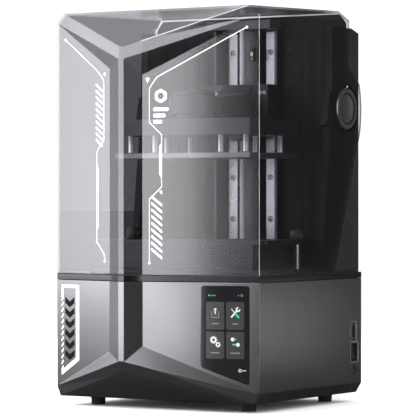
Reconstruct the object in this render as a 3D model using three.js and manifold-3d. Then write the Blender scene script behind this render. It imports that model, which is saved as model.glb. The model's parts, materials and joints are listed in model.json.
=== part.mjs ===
// Desktop resin printer: a faceted base with a touch screen, a tilting resin vat, a build plate on a
// twin-rail Z column, and a transparent lid that swings back on two hubs in the rear housing.
// Millimetres. +X is the printer's right, +Y its back, +Z up. The origin is the bottom centre of its box.
import * as THREE from "three";
import { mergeVertices } from "three/addons/utils/BufferGeometryUtils.js";
import Module from "manifold-3d";

const wasm = await Module();
wasm.setup();

// ---- Driving dimensions -------------------------------------------------------------------------
const WIDTH = 327;
const DEPTH = 329;
const HEIGHT = 551;
const GAP = 0.3; // clearance between neighbouring pieces
const WALL = 2.6; // moulded shell thickness

const HALF = WIDTH / 2;
const FRONT = -DEPTH / 2;
const BACK = DEPTH / 2;
const SHOULDER = FRONT + 44.4; // y of the two front corners, behind the central spine
const FOLD = FRONT + 12.2; // y of the folds on both sides of the spine
const MARGIN = 1; // how far a cutting tool reaches past the face it cuts
const SPINE_LEFT = -31.5;
const SPINE_RIGHT = -23;
const FOLD_LEFT = -53.7;
const FOLD_RIGHT = -0.8;

const BASE_BOTTOM = 13;
const BASE_TOP = 174.7;
const BASE_INSET = 5.6; // how far the bottom chamfer leans in
const BASE_FACETS = { keelRise: 39, chamfer: 26.5, keelChamfer: 66.4, left: 78, right: 88 }; // heights
const BASE_FLOOR = { x: 106, front: -92, back: 140, thickness: 3 };
const DECK_TOP = 182.9;
const LID_BOTTOM = 184;
const LID_INSET = 13.5; // how far the top chamfer leans in
const LID_REAR = 129;
const LID_FACETS = { corner: 531, left: 463.7, spine: 475.5, right: 453.4, rear: 537.6 }; // heights
const LID_BAND = { corner: 543.6, spine: 492.3, cornerForward: 3, spineBack: 4 };

const HINGE = { y: 123.5, z: 413.4 };
const HUB_RADIUS = 31.5;
const HUB_FLANGE = { extra: 4, thickness: 0.8 };
const PIN_RADIUS = 7;
const PIN_LENGTH = 10;

const COLUMN_HALF = 53;
const COLUMN_FRONT = 116;
const COLUMN_BACK = 158;
const RAIL_X = 31.5;
const RAIL_SIZE = { width: 15, depth: 10, front: 134.9 };
const SCREW = { y: 108, radius: 4, bottom: 190, top: 528 };

const PLATE = { y: 8, width: 225, depth: 131, headBottom: 374.8, headTop: 397, bottom: 343, top: 350 };
const POST = { columns: [-93.8, -53.7, 53.7, 93.8], rows: [-46.5, 46.5], nut: 6.4, collar: 5, shaft: 4 };
const DRUM = { y: -21, radius: 27, bottom: 397.3, top: 430 };
const VAT = { half: 144, bodyHalf: 122, front: -69, back: 85, bottom: 188.6, top: 230 };
const KNOB = { x: 135, y: 30, screw: 4, radius: 10.5, height: 16 };
// The vat holder's hinge line, along Y.
const TILT = { x: -141, z: 178.8, ear: 6, earLength: 14, pin: 2.5, pinLength: 184, pinY: 8 };
const HOLDER = { half: 145, front: -72, back: 88, bottom: 183.5 };
const CAM = { x: 136, y: -50, z: 166.3, radius: 20, throw: 4, width: 8 };

const HOUSING_HALF = 159.5;
const WING_INNER = 148;
const HOUSING_TOP = 527.5;

// ---- Finishes -----------------------------------------------------------------------------------
const FINISHES = {
  shell: { color: 0x85858a, roughness: 0.42, metalness: 0.65 },
  deck: { color: 0x26262a, roughness: 0.5, metalness: 0.4 },
  housing: { color: 0x3a3a3e, roughness: 0.55, metalness: 0.2 },
  black: { color: 0x141416, roughness: 0.6, metalness: 0.0 },
  rubber: { color: 0x161616, roughness: 0.9, metalness: 0.0 },
  glass: { color: 0x08080a, roughness: 0.08, metalness: 0.0 },
  smoke: { color: 0x8c8c94, roughness: 0.06, metalness: 0.0 },
  steel: { color: 0xc4c4c8, roughness: 0.25, metalness: 1.0 },
  aluminium: { color: 0xa8a8ad, roughness: 0.4, metalness: 0.9 },
  anodised: { color: 0x3c3c42, roughness: 0.4, metalness: 0.7 },
  board: { color: 0x14502c, roughness: 0.6, metalness: 0.0 },
  film: { color: 0xdcdce4, roughness: 0.15, metalness: 0.0 },
  brass: { color: 0xb08a40, roughness: 0.35, metalness: 0.9 },
};

const printer = new THREE.Group();

// One named piece of the printer.
function add(name, geometry, finish) {
  const mesh = new THREE.Mesh(geometry, new THREE.MeshStandardMaterial(FINISHES[finish]));
  mesh.name = name;
  printer.add(mesh);
}

// ---- Solids: joining and cutting ----------------------------------------------------------------
function toSolid(geometry) {
  const bare = new THREE.BufferGeometry();
  bare.setAttribute("position", geometry.getAttribute("position"));
  if (geometry.index) bare.setIndex(geometry.index);
  const merged = mergeVertices(bare, 1e-3);
  return new wasm.Manifold(
    new wasm.Mesh({
      numProp: 3,
      vertProperties: new Float32Array(merged.attributes.position.array),
      triVerts: new Uint32Array(merged.index.array),
    }),
  );
}

function toGeometry(solid) {
  const mesh = solid.getMesh();
  const positions = new Float32Array(mesh.numVert * 3);
  for (let i = 0; i < mesh.numVert; i++) {
    const start = i * mesh.numProp;
    positions.set(mesh.vertProperties.subarray(start, start + 3), i * 3);
  }
  const geometry = new THREE.BufferGeometry();
  geometry.setAttribute("position", new THREE.BufferAttribute(positions, 3));
  geometry.setIndex(new THREE.BufferAttribute(new Uint32Array(mesh.triVerts), 1));
  return geometry;
}

function join(first, ...others) {
  return toGeometry(others.reduce((solid, other) => solid.add(toSolid(other)), toSolid(first)));
}

function cut(first, ...tools) {
  return toGeometry(tools.reduce((solid, tool) => solid.subtract(toSolid(tool)), toSolid(first)));
}

function common(first, second) {
  return toGeometry(toSolid(first).intersect(toSolid(second)));
}

// ---- Solids: primitive shapes -------------------------------------------------------------------
// A box from its lowest to its highest corner.
function block(low, high) {
  const size = high.map((value, i) => value - low[i]);
  return new THREE.BoxGeometry(...size).translate(...low.map((value, i) => value + size[i] / 2));
}

// A cylinder along an axis, centred on a point.
function rod(axis, radius, length, centre, sides = 32) {
  const geometry = new THREE.CylinderGeometry(radius, radius, length, sides);
  if (axis === "x") geometry.rotateZ(Math.PI / 2);
  if (axis === "z") geometry.rotateX(Math.PI / 2);
  return geometry.translate(...centre);
}

// A turned piece around a vertical line; the profile is [radius, z] pairs from the axis and back to it.
function turned(profile, x, y, sides = 32) {
  const points = profile.map(([radius, z]) => new THREE.Vector2(radius, z));
  return new THREE.LatheGeometry(points, sides).rotateX(Math.PI / 2).translate(x, y, 0);
}

function shapeOf(points) {
  return new THREE.Shape(points.map(([x, y]) => new THREE.Vector2(x, y)));
}

function roundedShape(x0, y0, x1, y1, radius) {
  const shape = new THREE.Shape();
  shape.moveTo(x0 + radius, y0);
  shape.lineTo(x1 - radius, y0);
  shape.absarc(x1 - radius, y0 + radius, radius, -Math.PI / 2, 0, false);
  shape.lineTo(x1, y1 - radius);
  shape.absarc(x1 - radius, y1 - radius, radius, 0, Math.PI / 2, false);
  shape.lineTo(x0 + radius, y1);
  shape.absarc(x0 + radius, y1 - radius, radius, Math.PI / 2, Math.PI, false);
  shape.lineTo(x0, y0 + radius);
  shape.absarc(x0 + radius, y0 + radius, radius, Math.PI, Math.PI * 1.5, false);
  return shape;
}

// A flat outline raised from z0 to z1.
function slab(shape, z0, z1) {
  const options = { depth: z1 - z0, bevelEnabled: false, curveSegments: 5 };
  return new THREE.ExtrudeGeometry(shape, options).translate(0, 0, z0);
}

// A rounded rectangular plate.
function plate(x0, y0, x1, y1, radius, z0, z1) {
  return slab(roundedShape(x0, y0, x1, y1, radius), z0, z1);
}

// A side outline in (y, z), carried along X from x0 to x1.
function profileAlongX(shape, x0, x1) {
  const options = { depth: x1 - x0, bevelEnabled: false, curveSegments: 8 };
  const turn = new THREE.Matrix4().makeBasis(
    new THREE.Vector3(0, 1, 0),
    new THREE.Vector3(0, 0, 1),
    new THREE.Vector3(1, 0, 0),
  );
  return new THREE.ExtrudeGeometry(shape, options).applyMatrix4(turn).translate(x0, 0, 0);
}

function mirrorX(geometry) {
  return toGeometry(toSolid(geometry).mirror([1, 0, 0]));
}

// A closed skin through rings of the same number of [x, y, z] points, fanned shut at both ends.
function loft(rings) {
  const positions = [];
  const triangle = (...corners) => corners.forEach((corner) => positions.push(...corner));
  const same = (p, q) => p.every((value, i) => Math.abs(value - q[i]) < 1e-6);
  const count = rings[0].length;
  for (let level = 0; level + 1 < rings.length; level++) {
    for (let i = 0; i < count; i++) {
      const j = (i + 1) % count;
      const [low, high] = [rings[level], rings[level + 1]];
      if (!same(low[i], high[i])) triangle(low[i], low[j], high[i]);
      if (!same(low[j], high[j])) triangle(high[i], low[j], high[j]);
    }
  }
  const fan = (ring, turn) => {
    const middle = [0, 1, 2].map((axis) => ring.reduce((sum, p) => sum + p[axis], 0) / count);
    ring.forEach((point, i) => {
      const next = ring[(i + 1) % count];
      triangle(middle, ...(turn ? [next, point] : [point, next]));
    });
  };
  fan(rings[0], true);
  fan(rings[rings.length - 1], false);
  const geometry = new THREE.BufferGeometry();
  geometry.setAttribute("position", new THREE.Float32BufferAttribute(positions, 3));
  return geometry;
}

// Moves every edge of a counter-clockwise outline inwards by the same distance.
function inset(outline, distance) {
  const count = outline.length;
  const edge = (i) => {
    const [p, q] = [outline[i], outline[(i + 1) % count]];
    const direction = new THREE.Vector2(q[0] - p[0], q[1] - p[1]).normalize();
    const normal = new THREE.Vector2(-direction.y, direction.x);
    return { normal, offset: normal.x * p[0] + normal.y * p[1] + distance };
  };
  return outline.map((_, i) => {
    const before = edge((i + count - 1) % count);
    const after = edge(i);
    const cross = before.normal.x * after.normal.y - before.normal.y * after.normal.x;
    const x = (before.offset * after.normal.y - after.offset * before.normal.y) / cross;
    const y = (before.normal.x * after.offset - after.normal.x * before.offset) / cross;
    return [x, y];
  });
}

// ---- The printer's plan: two front corners, a narrow spine and a recessed panel on each side -----
const PLAN = [
  [-HALF, SHOULDER],
  [FOLD_LEFT, FOLD],
  [SPINE_LEFT, FRONT],
  [SPINE_RIGHT, FRONT],
  [FOLD_RIGHT, FOLD],
  [HALF, SHOULDER],
  [HALF, BACK],
  [-HALF, BACK],
];
const [LEFT, FOLD_A, SPINE_A, SPINE_B, FOLD_B, RIGHT, REAR_RIGHT, REAR_LEFT] = PLAN.keys();

// A point of the plan on the straight line between two others, at its own x.
function between(ring, from, to, index) {
  const t = (ring[index][0] - ring[from][0]) / (ring[to][0] - ring[from][0]);
  return ring[from].map((value, axis) => value + (ring[to][axis] - value) * t);
}

// Puts both folds on the straight lines from the corners to the spine.
function straightened(ring) {
  const result = ring.map((point) => [...point]);
  result[FOLD_A] = between(ring, LEFT, SPINE_A, FOLD_A);
  result[FOLD_B] = between(ring, SPINE_B, RIGHT, FOLD_B);
  return result;
}

// Puts the spine and the folds on the straight line between the two front corners.
function flattened(ring) {
  const result = ring.map((point) => [...point]);
  [FOLD_A, SPINE_A, SPINE_B, FOLD_B].forEach((index) => {
    result[index] = between(ring, LEFT, RIGHT, index);
  });
  return result;
}

function ringAt(plan, heights) {
  return plan.map(([x, y], i) => [x, y, heights[i]]);
}

// The facets at the foot of the base: chamfer, triangular facets, and a keel below the spine.
function baseLoft(thickness, bottom, top) {
  const plan = inset(PLAN, thickness);
  const lift = thickness;
  const low = inset(PLAN, thickness + BASE_INSET);
  low[LEFT][1] = plan[LEFT][1];
  low[RIGHT][1] = plan[RIGHT][1];
  const keel = bottom + BASE_FACETS.keelRise;
  const foot = ringAt(low, [bottom, bottom, keel, keel, bottom, bottom, bottom, bottom]);
  const { chamfer, keelChamfer, left, right } = BASE_FACETS;
  const lifted = (heights) => heights.map((z) => z + lift);
  const sides = Array(4).fill(chamfer);
  const chamferTop = lifted([chamfer, chamfer, keelChamfer, keelChamfer, ...sides]);
  const facetTop = lifted([chamfer, left, keelChamfer, keelChamfer, right, chamfer, chamfer, chamfer]);
  return loft([
    flattened(foot),
    straightened(foot),
    straightened(ringAt(plan, chamferTop)),
    ringAt(plan, facetTop),
    ringAt(plan, Array(PLAN.length).fill(top)),
  ]);
}

// A height that rises evenly from the front corners to the lid's rear edge, at any y.
function rising(front, rear, y) {
  return front + ((rear - front) * (y - SHOULDER)) / (LID_REAR - SHOULDER);
}

// The lid's crown: triangular facets, a chamfered band, a sloping front triangle and a flat top.
function lidLoft(thickness, bottom, rear) {
  const plan = inset(PLAN, thickness);
  plan[REAR_RIGHT][1] = rear;
  plan[REAR_LEFT][1] = rear;
  const drop = thickness;
  const bandInset = LID_INSET - thickness / 3;
  const crown = plan.map(([x, y]) => [x, y]);
  crown[LEFT] = [plan[LEFT][0] + bandInset, plan[LEFT][1] - LID_BAND.cornerForward];
  crown[RIGHT] = [plan[RIGHT][0] - bandInset, plan[RIGHT][1] - LID_BAND.cornerForward];
  crown[SPINE_A][1] += LID_BAND.spineBack;
  crown[SPINE_B][1] += LID_BAND.spineBack;
  crown[REAR_RIGHT][0] -= bandInset;
  crown[REAR_LEFT][0] += bandInset;
  const { corner, left, spine, right } = LID_FACETS;
  const [top, ridge] = [LID_BAND.corner, LID_BAND.spine];
  const rearFoot = rising(corner, LID_FACETS.rear, rear);
  const rearTop = rising(top, HEIGHT + 0.2, rear);
  const lowered = (heights) => heights.map((z) => z - drop);
  const facetTop = lowered([corner, left, spine, spine, right, corner, rearFoot, rearFoot]);
  const bandFoot = lowered([corner, corner, spine, spine, corner, corner, rearFoot, rearFoot]);
  const bandTop = lowered([top, top, ridge, ridge, top, top, rearTop, rearTop]);
  const crest = ringAt(crown, bandTop);
  return loft([
    ringAt(plan, Array(PLAN.length).fill(bottom)),
    ringAt(plan, facetTop),
    straightened(ringAt(plan, bandFoot)),
    straightened(crest),
    flattened(crest),
  ]);
}

// ---- Base -----------------------------------------------------------------------------------------
const panelAngle = Math.atan2(SHOULDER - FOLD, HALF - FOLD_RIGHT); // of the right front panel
const PANEL_RIGHT = [HALF, SHOULDER]; // the panel's right edge

// Places a shape drawn as (distance from the panel's right edge, z), with its depth going inwards.
function onPanel(shape, depth, behind) {
  const options = { depth, bevelEnabled: false, curveSegments: 5 };
  const along = new THREE.Vector3(-Math.cos(panelAngle), -Math.sin(panelAngle), 0);
  const inwards = new THREE.Vector3(-Math.sin(panelAngle), Math.cos(panelAngle), 0);
  const place = new THREE.Matrix4().makeBasis(along, new THREE.Vector3(0, 0, 1), inwards);
  const origin = new THREE.Vector3(...PANEL_RIGHT, 0).addScaledVector(inwards, behind);
  place.setPosition(origin);
  return new THREE.ExtrudeGeometry(shape, options).applyMatrix4(place);
}

const SCREEN = { right: 14, left: 82.4, top: 170, rightFoot: 38, leftFoot: 61, radius: 4 };
const SCREEN_DEPTH = { behind: 0.1, thickness: 1.8 };
const DISPLAY = { right: 19, left: 78, bottom: 64, top: 164, radius: 2, behind: 5, thickness: 8 };

// The touch screen's outline: its lower edge slants down to the right. Its corners are round.
function screenShape(margin) {
  const [right, left, top] = [SCREEN.right + margin, SCREEN.left - margin, SCREEN.top - margin];
  const [rightFoot, leftFoot] = [SCREEN.rightFoot + margin, SCREEN.leftFoot + margin];
  const radius = SCREEN.radius - margin / 2;
  const shape = new THREE.Shape();
  shape.moveTo(right + radius, top);
  shape.quadraticCurveTo(right, top, right, top - radius);
  shape.lineTo(right, rightFoot + radius);
  shape.quadraticCurveTo(right, rightFoot, right + radius, rightFoot + radius / 3);
  shape.lineTo(left - radius, leftFoot - radius / 3);
  shape.quadraticCurveTo(left, leftFoot, left, leftFoot + radius);
  shape.lineTo(left, top - radius);
  shape.quadraticCurveTo(left, top, left - radius, top);
  return shape;
}

const PORTS = {
  usb: { y0: 135.5, y1: 147.9, z0: 87, z1: 112.5 },
  rocker: { y0: 133.9, y1: 153.3, z0: 57.7, z1: 83.4 },
  jack: { y: 141.9, z: 46, radius: 7, bore: 4.2, pin: 1.2, length: 18 },
};
const PORT_CUT = 8; // how far a port's hole reaches to each side of the outer face
const VENT = { count: 9, x: -112, pitch: 8, width: 4, bottom: 60, top: 130 };

function portHole({ y0, y1, z0, z1 }, margin) {
  return block(
    [HALF - PORT_CUT, y0 - margin, z0 - margin],
    [HALF + PORT_CUT, y1 + margin, z1 + margin],
  );
}

const floorOpening = block(
  [-BASE_FLOOR.x, BASE_FLOOR.front, BASE_BOTTOM - MARGIN],
  [BASE_FLOOR.x, BASE_FLOOR.back, BASE_BOTTOM + BASE_FLOOR.thickness + MARGIN],
);
const ventSlots = [...Array(VENT.count).keys()].map((i) => {
  const x = VENT.x + i * VENT.pitch;
  return block([x, BACK - PORT_CUT, VENT.bottom], [x + VENT.width, BACK + MARGIN, VENT.top]);
});
add(
  "base_shell",
  cut(
    baseLoft(0, BASE_BOTTOM, BASE_TOP),
    baseLoft(WALL, BASE_BOTTOM + BASE_FLOOR.thickness, BASE_TOP + MARGIN),
    floorOpening,
    onPanel(screenShape(-GAP), PORT_CUT, -WALL),
    portHole(PORTS.usb, GAP),
    portHole(PORTS.rocker, GAP),
    rod("x", PORTS.jack.radius + GAP, PORT_CUT * 2, [HALF, PORTS.jack.y, PORTS.jack.z]),
    ...ventSlots,
  ),
  "shell",
);

const LAP = 4; // how far the bottom plate overlaps the floor around its opening
const plateBottom = BASE_BOTTOM + BASE_FLOOR.thickness + GAP;
add(
  "bottom_plate",
  plate(
    -BASE_FLOOR.x - LAP,
    BASE_FLOOR.front - LAP,
    BASE_FLOOR.x + LAP,
    BASE_FLOOR.back + LAP,
    6,
    plateBottom,
    plateBottom + 1.7,
  ),
  "anodised",
);

const FOOT = { x: 122.5, front: -78.1, rear: 131.5, sole: 9.4, edge: 10.2, edgeHeight: 1.2, top: 11 };
const FEET = {
  front_left: [-FOOT.x, FOOT.front],
  front_right: [FOOT.x, FOOT.front],
  rear_left: [-FOOT.x, FOOT.rear],
  rear_right: [FOOT.x, FOOT.rear],
};
for (const [place, [x, y]] of Object.entries(FEET)) {
  const profile = [
    [0, 0],
    [FOOT.sole, 0],
    [FOOT.edge, FOOT.edgeHeight],
    [FOOT.top, BASE_BOTTOM - GAP],
    [0, BASE_BOTTOM - GAP],
  ];
  add(`foot_${place}`, turned(profile, x, y, 24), "rubber");
}

// Masking screen, its light, and the deck that carries them.
const LCD = { half: 112, front: -57, back: 73, depth: 4, ledge: 6 };
const CAM_SLOT = { x: 23, y: 6 };
const COUPLING_HOLE = 13;
const deckCuts = [
  block(
    [-LCD.half - GAP, LCD.front - GAP, DECK_TOP - LCD.depth],
    [LCD.half + GAP, LCD.back + GAP, DECK_TOP + MARGIN],
  ),
  block(
    [-LCD.half + LCD.ledge, LCD.front + LCD.ledge, BASE_TOP - MARGIN],
    [LCD.half - LCD.ledge, LCD.back - LCD.ledge, DECK_TOP],
  ),
  block(
    [CAM.x - CAM_SLOT.x, CAM.y - CAM_SLOT.y, BASE_TOP - MARGIN],
    [CAM.x + CAM_SLOT.x, CAM.y + CAM_SLOT.y, DECK_TOP + MARGIN],
  ),
  rod("z", COUPLING_HOLE, DECK_TOP - BASE_TOP + 2 * MARGIN, [0, SCREW.y, (BASE_TOP + DECK_TOP) / 2]),
  rod("y", TILT.pin + GAP, TILT.pinLength + 2 * MARGIN, [TILT.x, TILT.pinY, TILT.z], 20),
];
const EAR_INSET = 12; // from the holder's front and back edges to its hinge ears
const EAR_ROOM = 1;
const earPlaces = [HOLDER.front + EAR_INSET, HOLDER.back - EAR_INSET];
const earSlots = earPlaces.map((y) =>
  block(
    [TILT.x - TILT.ear - EAR_ROOM, y - TILT.earLength / 2 - EAR_ROOM, BASE_TOP - MARGIN],
    [TILT.x + TILT.ear + EAR_ROOM, y + TILT.earLength / 2 + EAR_ROOM, DECK_TOP + MARGIN],
  ),
);
const deckFlat = (z) => ringAt(PLAN, Array(PLAN.length).fill(z));
add(
  "top_deck",
  cut(loft([deckFlat(BASE_TOP + GAP), deckFlat(DECK_TOP)]), ...deckCuts, ...earSlots),
  "deck",
);
add(
  "masking_screen",
  block([-LCD.half, LCD.front, DECK_TOP - LCD.depth + GAP], [LCD.half, LCD.back, DECK_TOP - GAP]),
  "glass",
);

const LAMP = { half: 62, y0: -34, y1: 50, bottom: 62, top: 100 };
const LAMP_FIN = { gaps: 8, first: 10, pitch: 14, width: 9, base: 12 };
const LAMP_BOARD = { half: 40, y0: -20, y1: 36, top: 3 };
const HOOD = { low: [48, -30, 46], high: [110, -50, 66], lowWall: 6, highWall: 3 }; // half, front, back
const lampFins = [...Array(LAMP_FIN.gaps).keys()].map((i) => {
  const x = -LAMP.half + LAMP_FIN.first + i * LAMP_FIN.pitch;
  return block(
    [x, LAMP.y0 - MARGIN, LAMP.bottom - MARGIN],
    [x + LAMP_FIN.width, LAMP.y1 + MARGIN, LAMP.top - LAMP_FIN.base],
  );
});
add(
  "lamp_heatsink",
  cut(block([-LAMP.half, LAMP.y0, LAMP.bottom], [LAMP.half, LAMP.y1, LAMP.top]), ...lampFins),
  "aluminium",
);
add(
  "lamp_array",
  block(
    [-LAMP_BOARD.half, LAMP_BOARD.y0, LAMP.top + GAP],
    [LAMP_BOARD.half, LAMP_BOARD.y1, LAMP.top + LAMP_BOARD.top],
  ),
  "film",
);
const hoodRing = (half, front, back, z) => [
  [-half, front, z],
  [half, front, z],
  [half, back, z],
  [-half, back, z],
];
const shrunk = ([half, front, back], wall) => [half - wall, front + wall, back - wall];
add(
  "light_hood",
  cut(
    loft([hoodRing(...HOOD.low, LAMP.top + GAP), hoodRing(...HOOD.high, BASE_TOP - 1)]),
    loft([
      hoodRing(...shrunk(HOOD.low, HOOD.lowWall), LAMP.top - 2),
      hoodRing(...shrunk(HOOD.high, HOOD.highWall), BASE_TOP + MARGIN),
    ]),
  ),
  "black",
);

// Axial fan behind the lamp, blowing out through the rear slots.
const FAN = { x: -78, y0: 134, y1: 154, z: 95, half: 40, radius: 37.5, hub: 12, spoke: 2 };
const ROTOR = { blades: 7, y: FAN.y0 + 9, depth: 14, reach: 22, pitch: 0.6, blade: [25, 11, 1.4] };
const fanDepth = FAN.y1 - FAN.y0;
const fanHole = rod("y", FAN.radius, fanDepth + 2 * MARGIN, [FAN.x, FAN.y0 + fanDepth / 2, FAN.z], 40);
const fanSpokes = [0, 1].map((i) => {
  const reach = FAN.radius + 1;
  const spoke = block([-reach, 0, -FAN.spoke], [reach, FAN.spoke, FAN.spoke]).rotateY((Math.PI / 2) * i);
  return spoke.translate(FAN.x, FAN.y1 - FAN.spoke, FAN.z);
});
add(
  "fan_frame",
  join(
    cut(
      block([FAN.x - FAN.half, FAN.y0, FAN.z - FAN.half], [FAN.x + FAN.half, FAN.y1, FAN.z + FAN.half]),
      fanHole,
    ),
    ...fanSpokes,
    rod("y", FAN.hub, FAN.spoke, [FAN.x, FAN.y1 - FAN.spoke / 2, FAN.z], 24),
  ),
  "black",
);
const fanBlades = [...Array(ROTOR.blades).keys()].map((i) => {
  const blade = new THREE.BoxGeometry(...ROTOR.blade).rotateX(ROTOR.pitch).translate(ROTOR.reach, 0, 0);
  return blade.rotateY((i * 2 * Math.PI) / ROTOR.blades).translate(FAN.x, ROTOR.y, FAN.z);
});
add(
  "fan_rotor",
  join(rod("y", FAN.hub, ROTOR.depth, [FAN.x, ROTOR.y, FAN.z], 24), ...fanBlades),
  "black",
);

// Control board on its pillars.
const BOARD = { x0: 20, x1: 130, y0: 70, y1: 134, z: 34, thickness: 1.6 };
const PILLAR = { inset: 6, radius: 3, length: 16 };
const pillars = [BOARD.x0 + PILLAR.inset, BOARD.x1 - PILLAR.inset].flatMap((x) =>
  [BOARD.y0 + PILLAR.inset, BOARD.y1 - PILLAR.inset].map((y) =>
    rod("z", PILLAR.radius, PILLAR.length, [x, y, BOARD.z + 0.4 - PILLAR.length / 2], 12),
  ),
);
// Parts on the board: x and y from its corner, width, depth and height over its top.
const BOARD_PARTS = [
  [40, 20, 18, 18, 2.4],
  [5, 8, 25, 6, 7.4],
  [80, 8, 22, 6, 7.4],
];
const boardParts = BOARD_PARTS.map(([x, y, width, depth, height]) => {
  const low = [BOARD.x0 + x, BOARD.y0 + y, BOARD.z + BOARD.thickness / 2];
  return block(low, [low[0] + width, low[1] + depth, BOARD.z + BOARD.thickness + height]);
});
add(
  "control_board",
  join(
    block([BOARD.x0, BOARD.y0, BOARD.z], [BOARD.x1, BOARD.y1, BOARD.z + BOARD.thickness]),
    ...boardParts,
    ...pillars,
  ),
  "board",
);

add("touch_screen", onPanel(screenShape(0), SCREEN_DEPTH.thickness, SCREEN_DEPTH.behind), "glass");
const displayShape = roundedShape(DISPLAY.right, DISPLAY.bottom, DISPLAY.left, DISPLAY.top, DISPLAY.radius);
add("display_module", onPanel(displayShape, DISPLAY.thickness, DISPLAY.behind + GAP), "black");

// Ports on the right wall: USB socket, power rocker, power inlet.
// A box let into the right wall, from one depth to another, smaller than the port by the margins.
function portBox({ y0, y1, z0, z1 }, deep, shallow, sideY = 0, sideZ = 0) {
  return block([HALF - deep, y0 + sideY, z0 + sideZ], [HALF - shallow, y1 - sideY, z1 - sideZ]);
}
const SOCKET = { deep: 20, cavity: 16, sunk: 0.6, sideY: 2.8, sideZ: 5 };
const TONGUE = { deep: 17, sunk: 3, near: 7.2, far: 9.2, sideZ: 6.2 };
add(
  "usb_socket",
  join(
    cut(
      portBox(PORTS.usb, SOCKET.deep, SOCKET.sunk),
      portBox(PORTS.usb, SOCKET.cavity, -MARGIN, SOCKET.sideY, SOCKET.sideZ),
    ),
    block(
      [HALF - TONGUE.deep, PORTS.usb.y0 + TONGUE.near, PORTS.usb.z0 + TONGUE.sideZ],
      [HALF - TONGUE.sunk, PORTS.usb.y0 + TONGUE.far, PORTS.usb.z1 - TONGUE.sideZ],
    ),
  ),
  "black",
);
const rocker = PORTS.rocker;
const BEZEL = { deep: 22, cavity: 18, sunk: 0.2, rim: 2 };
add(
  "switch_bezel",
  cut(
    portBox(rocker, BEZEL.deep, BEZEL.sunk),
    portBox(rocker, BEZEL.cavity, -MARGIN, BEZEL.rim, BEZEL.rim),
  ),
  "black",
);
const PADDLE = { back: -6, tip: 3.4, middle: 1.6, taper: 3, clearance: 0.4, pivot: 6, rest: 8 };
const paddleHalf = (rocker.z1 - rocker.z0) / 2 - BEZEL.rim - 2 * PADDLE.clearance;
const paddle = shapeOf([
  [PADDLE.back, -paddleHalf + PADDLE.taper],
  [PADDLE.tip, -paddleHalf],
  [PADDLE.middle, 0],
  [PADDLE.tip, paddleHalf],
  [PADDLE.back, paddleHalf - PADDLE.taper],
]);
const paddleSide = BEZEL.rim + PADDLE.clearance;
const paddleDepth = rocker.y1 - rocker.y0 - 2 * paddleSide;
add(
  "power_rocker",
  new THREE.ExtrudeGeometry(paddle, { depth: paddleDepth, bevelEnabled: false })
    .rotateZ(THREE.MathUtils.degToRad(PADDLE.rest))
    .rotateX(Math.PI / 2)
    .translate(HALF - PADDLE.pivot, rocker.y1 - paddleSide, (rocker.z0 + rocker.z1) / 2),
  "black",
);
const { jack } = PORTS;
const jackAt = (x) => [x, jack.y, jack.z];
const jackMiddle = HALF - 0.4 - jack.length / 2;
add(
  "power_inlet",
  join(
    cut(
      rod("x", jack.radius, jack.length, jackAt(jackMiddle), 28),
      rod("x", jack.bore, jack.length - 4, jackAt(jackMiddle + 3.4), 28),
    ),
    rod("x", jack.pin, jack.length - 5, jackAt(jackMiddle + 0.4), 12),
  ),
  "black",
);

// ---- Vat and its tilting holder -------------------------------------------------------------------
const holderEar = (y) => rod("y", TILT.ear, TILT.earLength, [TILT.x, y, TILT.z], 20);
const holderPlate = plate(
  -HOLDER.half,
  HOLDER.front,
  HOLDER.half,
  HOLDER.back,
  8,
  HOLDER.bottom,
  VAT.bottom - GAP,
);
const FILM = { half: 121, front: -66, back: 82, room: 0.6, bar: 6, bottom: 1.3, sheet: 0.4, sheetTop: 1 };
const knobHoles = [-1, 1].map((side) =>
  rod("z", KNOB.screw + 0.6, 2 * VAT.top - 2 * VAT.bottom + 20, [side * KNOB.x, KNOB.y, VAT.bottom]),
);
add(
  "vat_holder",
  cut(
    join(holderPlate, ...earPlaces.map(holderEar)),
    block(
      [-FILM.half - FILM.room, FILM.front - FILM.room, DECK_TOP],
      [FILM.half + FILM.room, FILM.back + FILM.room, VAT.bottom],
    ),
    rod("y", TILT.pin + 0.2, TILT.pinLength, [TILT.x, TILT.pinY, TILT.z], 20),
    ...knobHoles,
  ),
  "aluminium",
);
add("tilt_pin", rod("y", TILT.pin, TILT.pinLength, [TILT.x, TILT.pinY, TILT.z], 20), "steel");

const VAT_WELL = { low: [115.5, -60.5, 76.5], high: [118, -62, 78] }; // half, front, back
const VAT_LIP = { height: 6, radius: 10 };
const vatBody = join(
  loft([
    hoodRing(VAT.bodyHalf - 1, VAT.front + 2, VAT.back - 2, VAT.bottom),
    hoodRing(VAT.bodyHalf + 1, VAT.front, VAT.back, VAT.top),
  ]),
  plate(-VAT.half, VAT.front, VAT.half, VAT.back, VAT_LIP.radius, VAT.top - VAT_LIP.height, VAT.top),
);
add(
  "resin_vat",
  cut(
    vatBody,
    loft([
      hoodRing(...VAT_WELL.low, VAT.bottom - MARGIN),
      hoodRing(...VAT_WELL.high, VAT.top + MARGIN),
    ]),
    ...knobHoles,
  ),
  "anodised",
);
add(
  "film_frame",
  cut(
    block([-FILM.half, FILM.front, DECK_TOP + FILM.bottom], [FILM.half, FILM.back, VAT.bottom - GAP]),
    block(
      [-FILM.half + FILM.bar, FILM.front + FILM.bar, DECK_TOP],
      [FILM.half - FILM.bar, FILM.back - FILM.bar, VAT.bottom],
    ),
  ),
  "aluminium",
);
add(
  "release_film",
  block(
    [-FILM.half + 1, FILM.front + 1, DECK_TOP + FILM.sheet],
    [FILM.half - 1, FILM.back - 1, DECK_TOP + FILM.sheetTop],
  ),
  "film",
);

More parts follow.
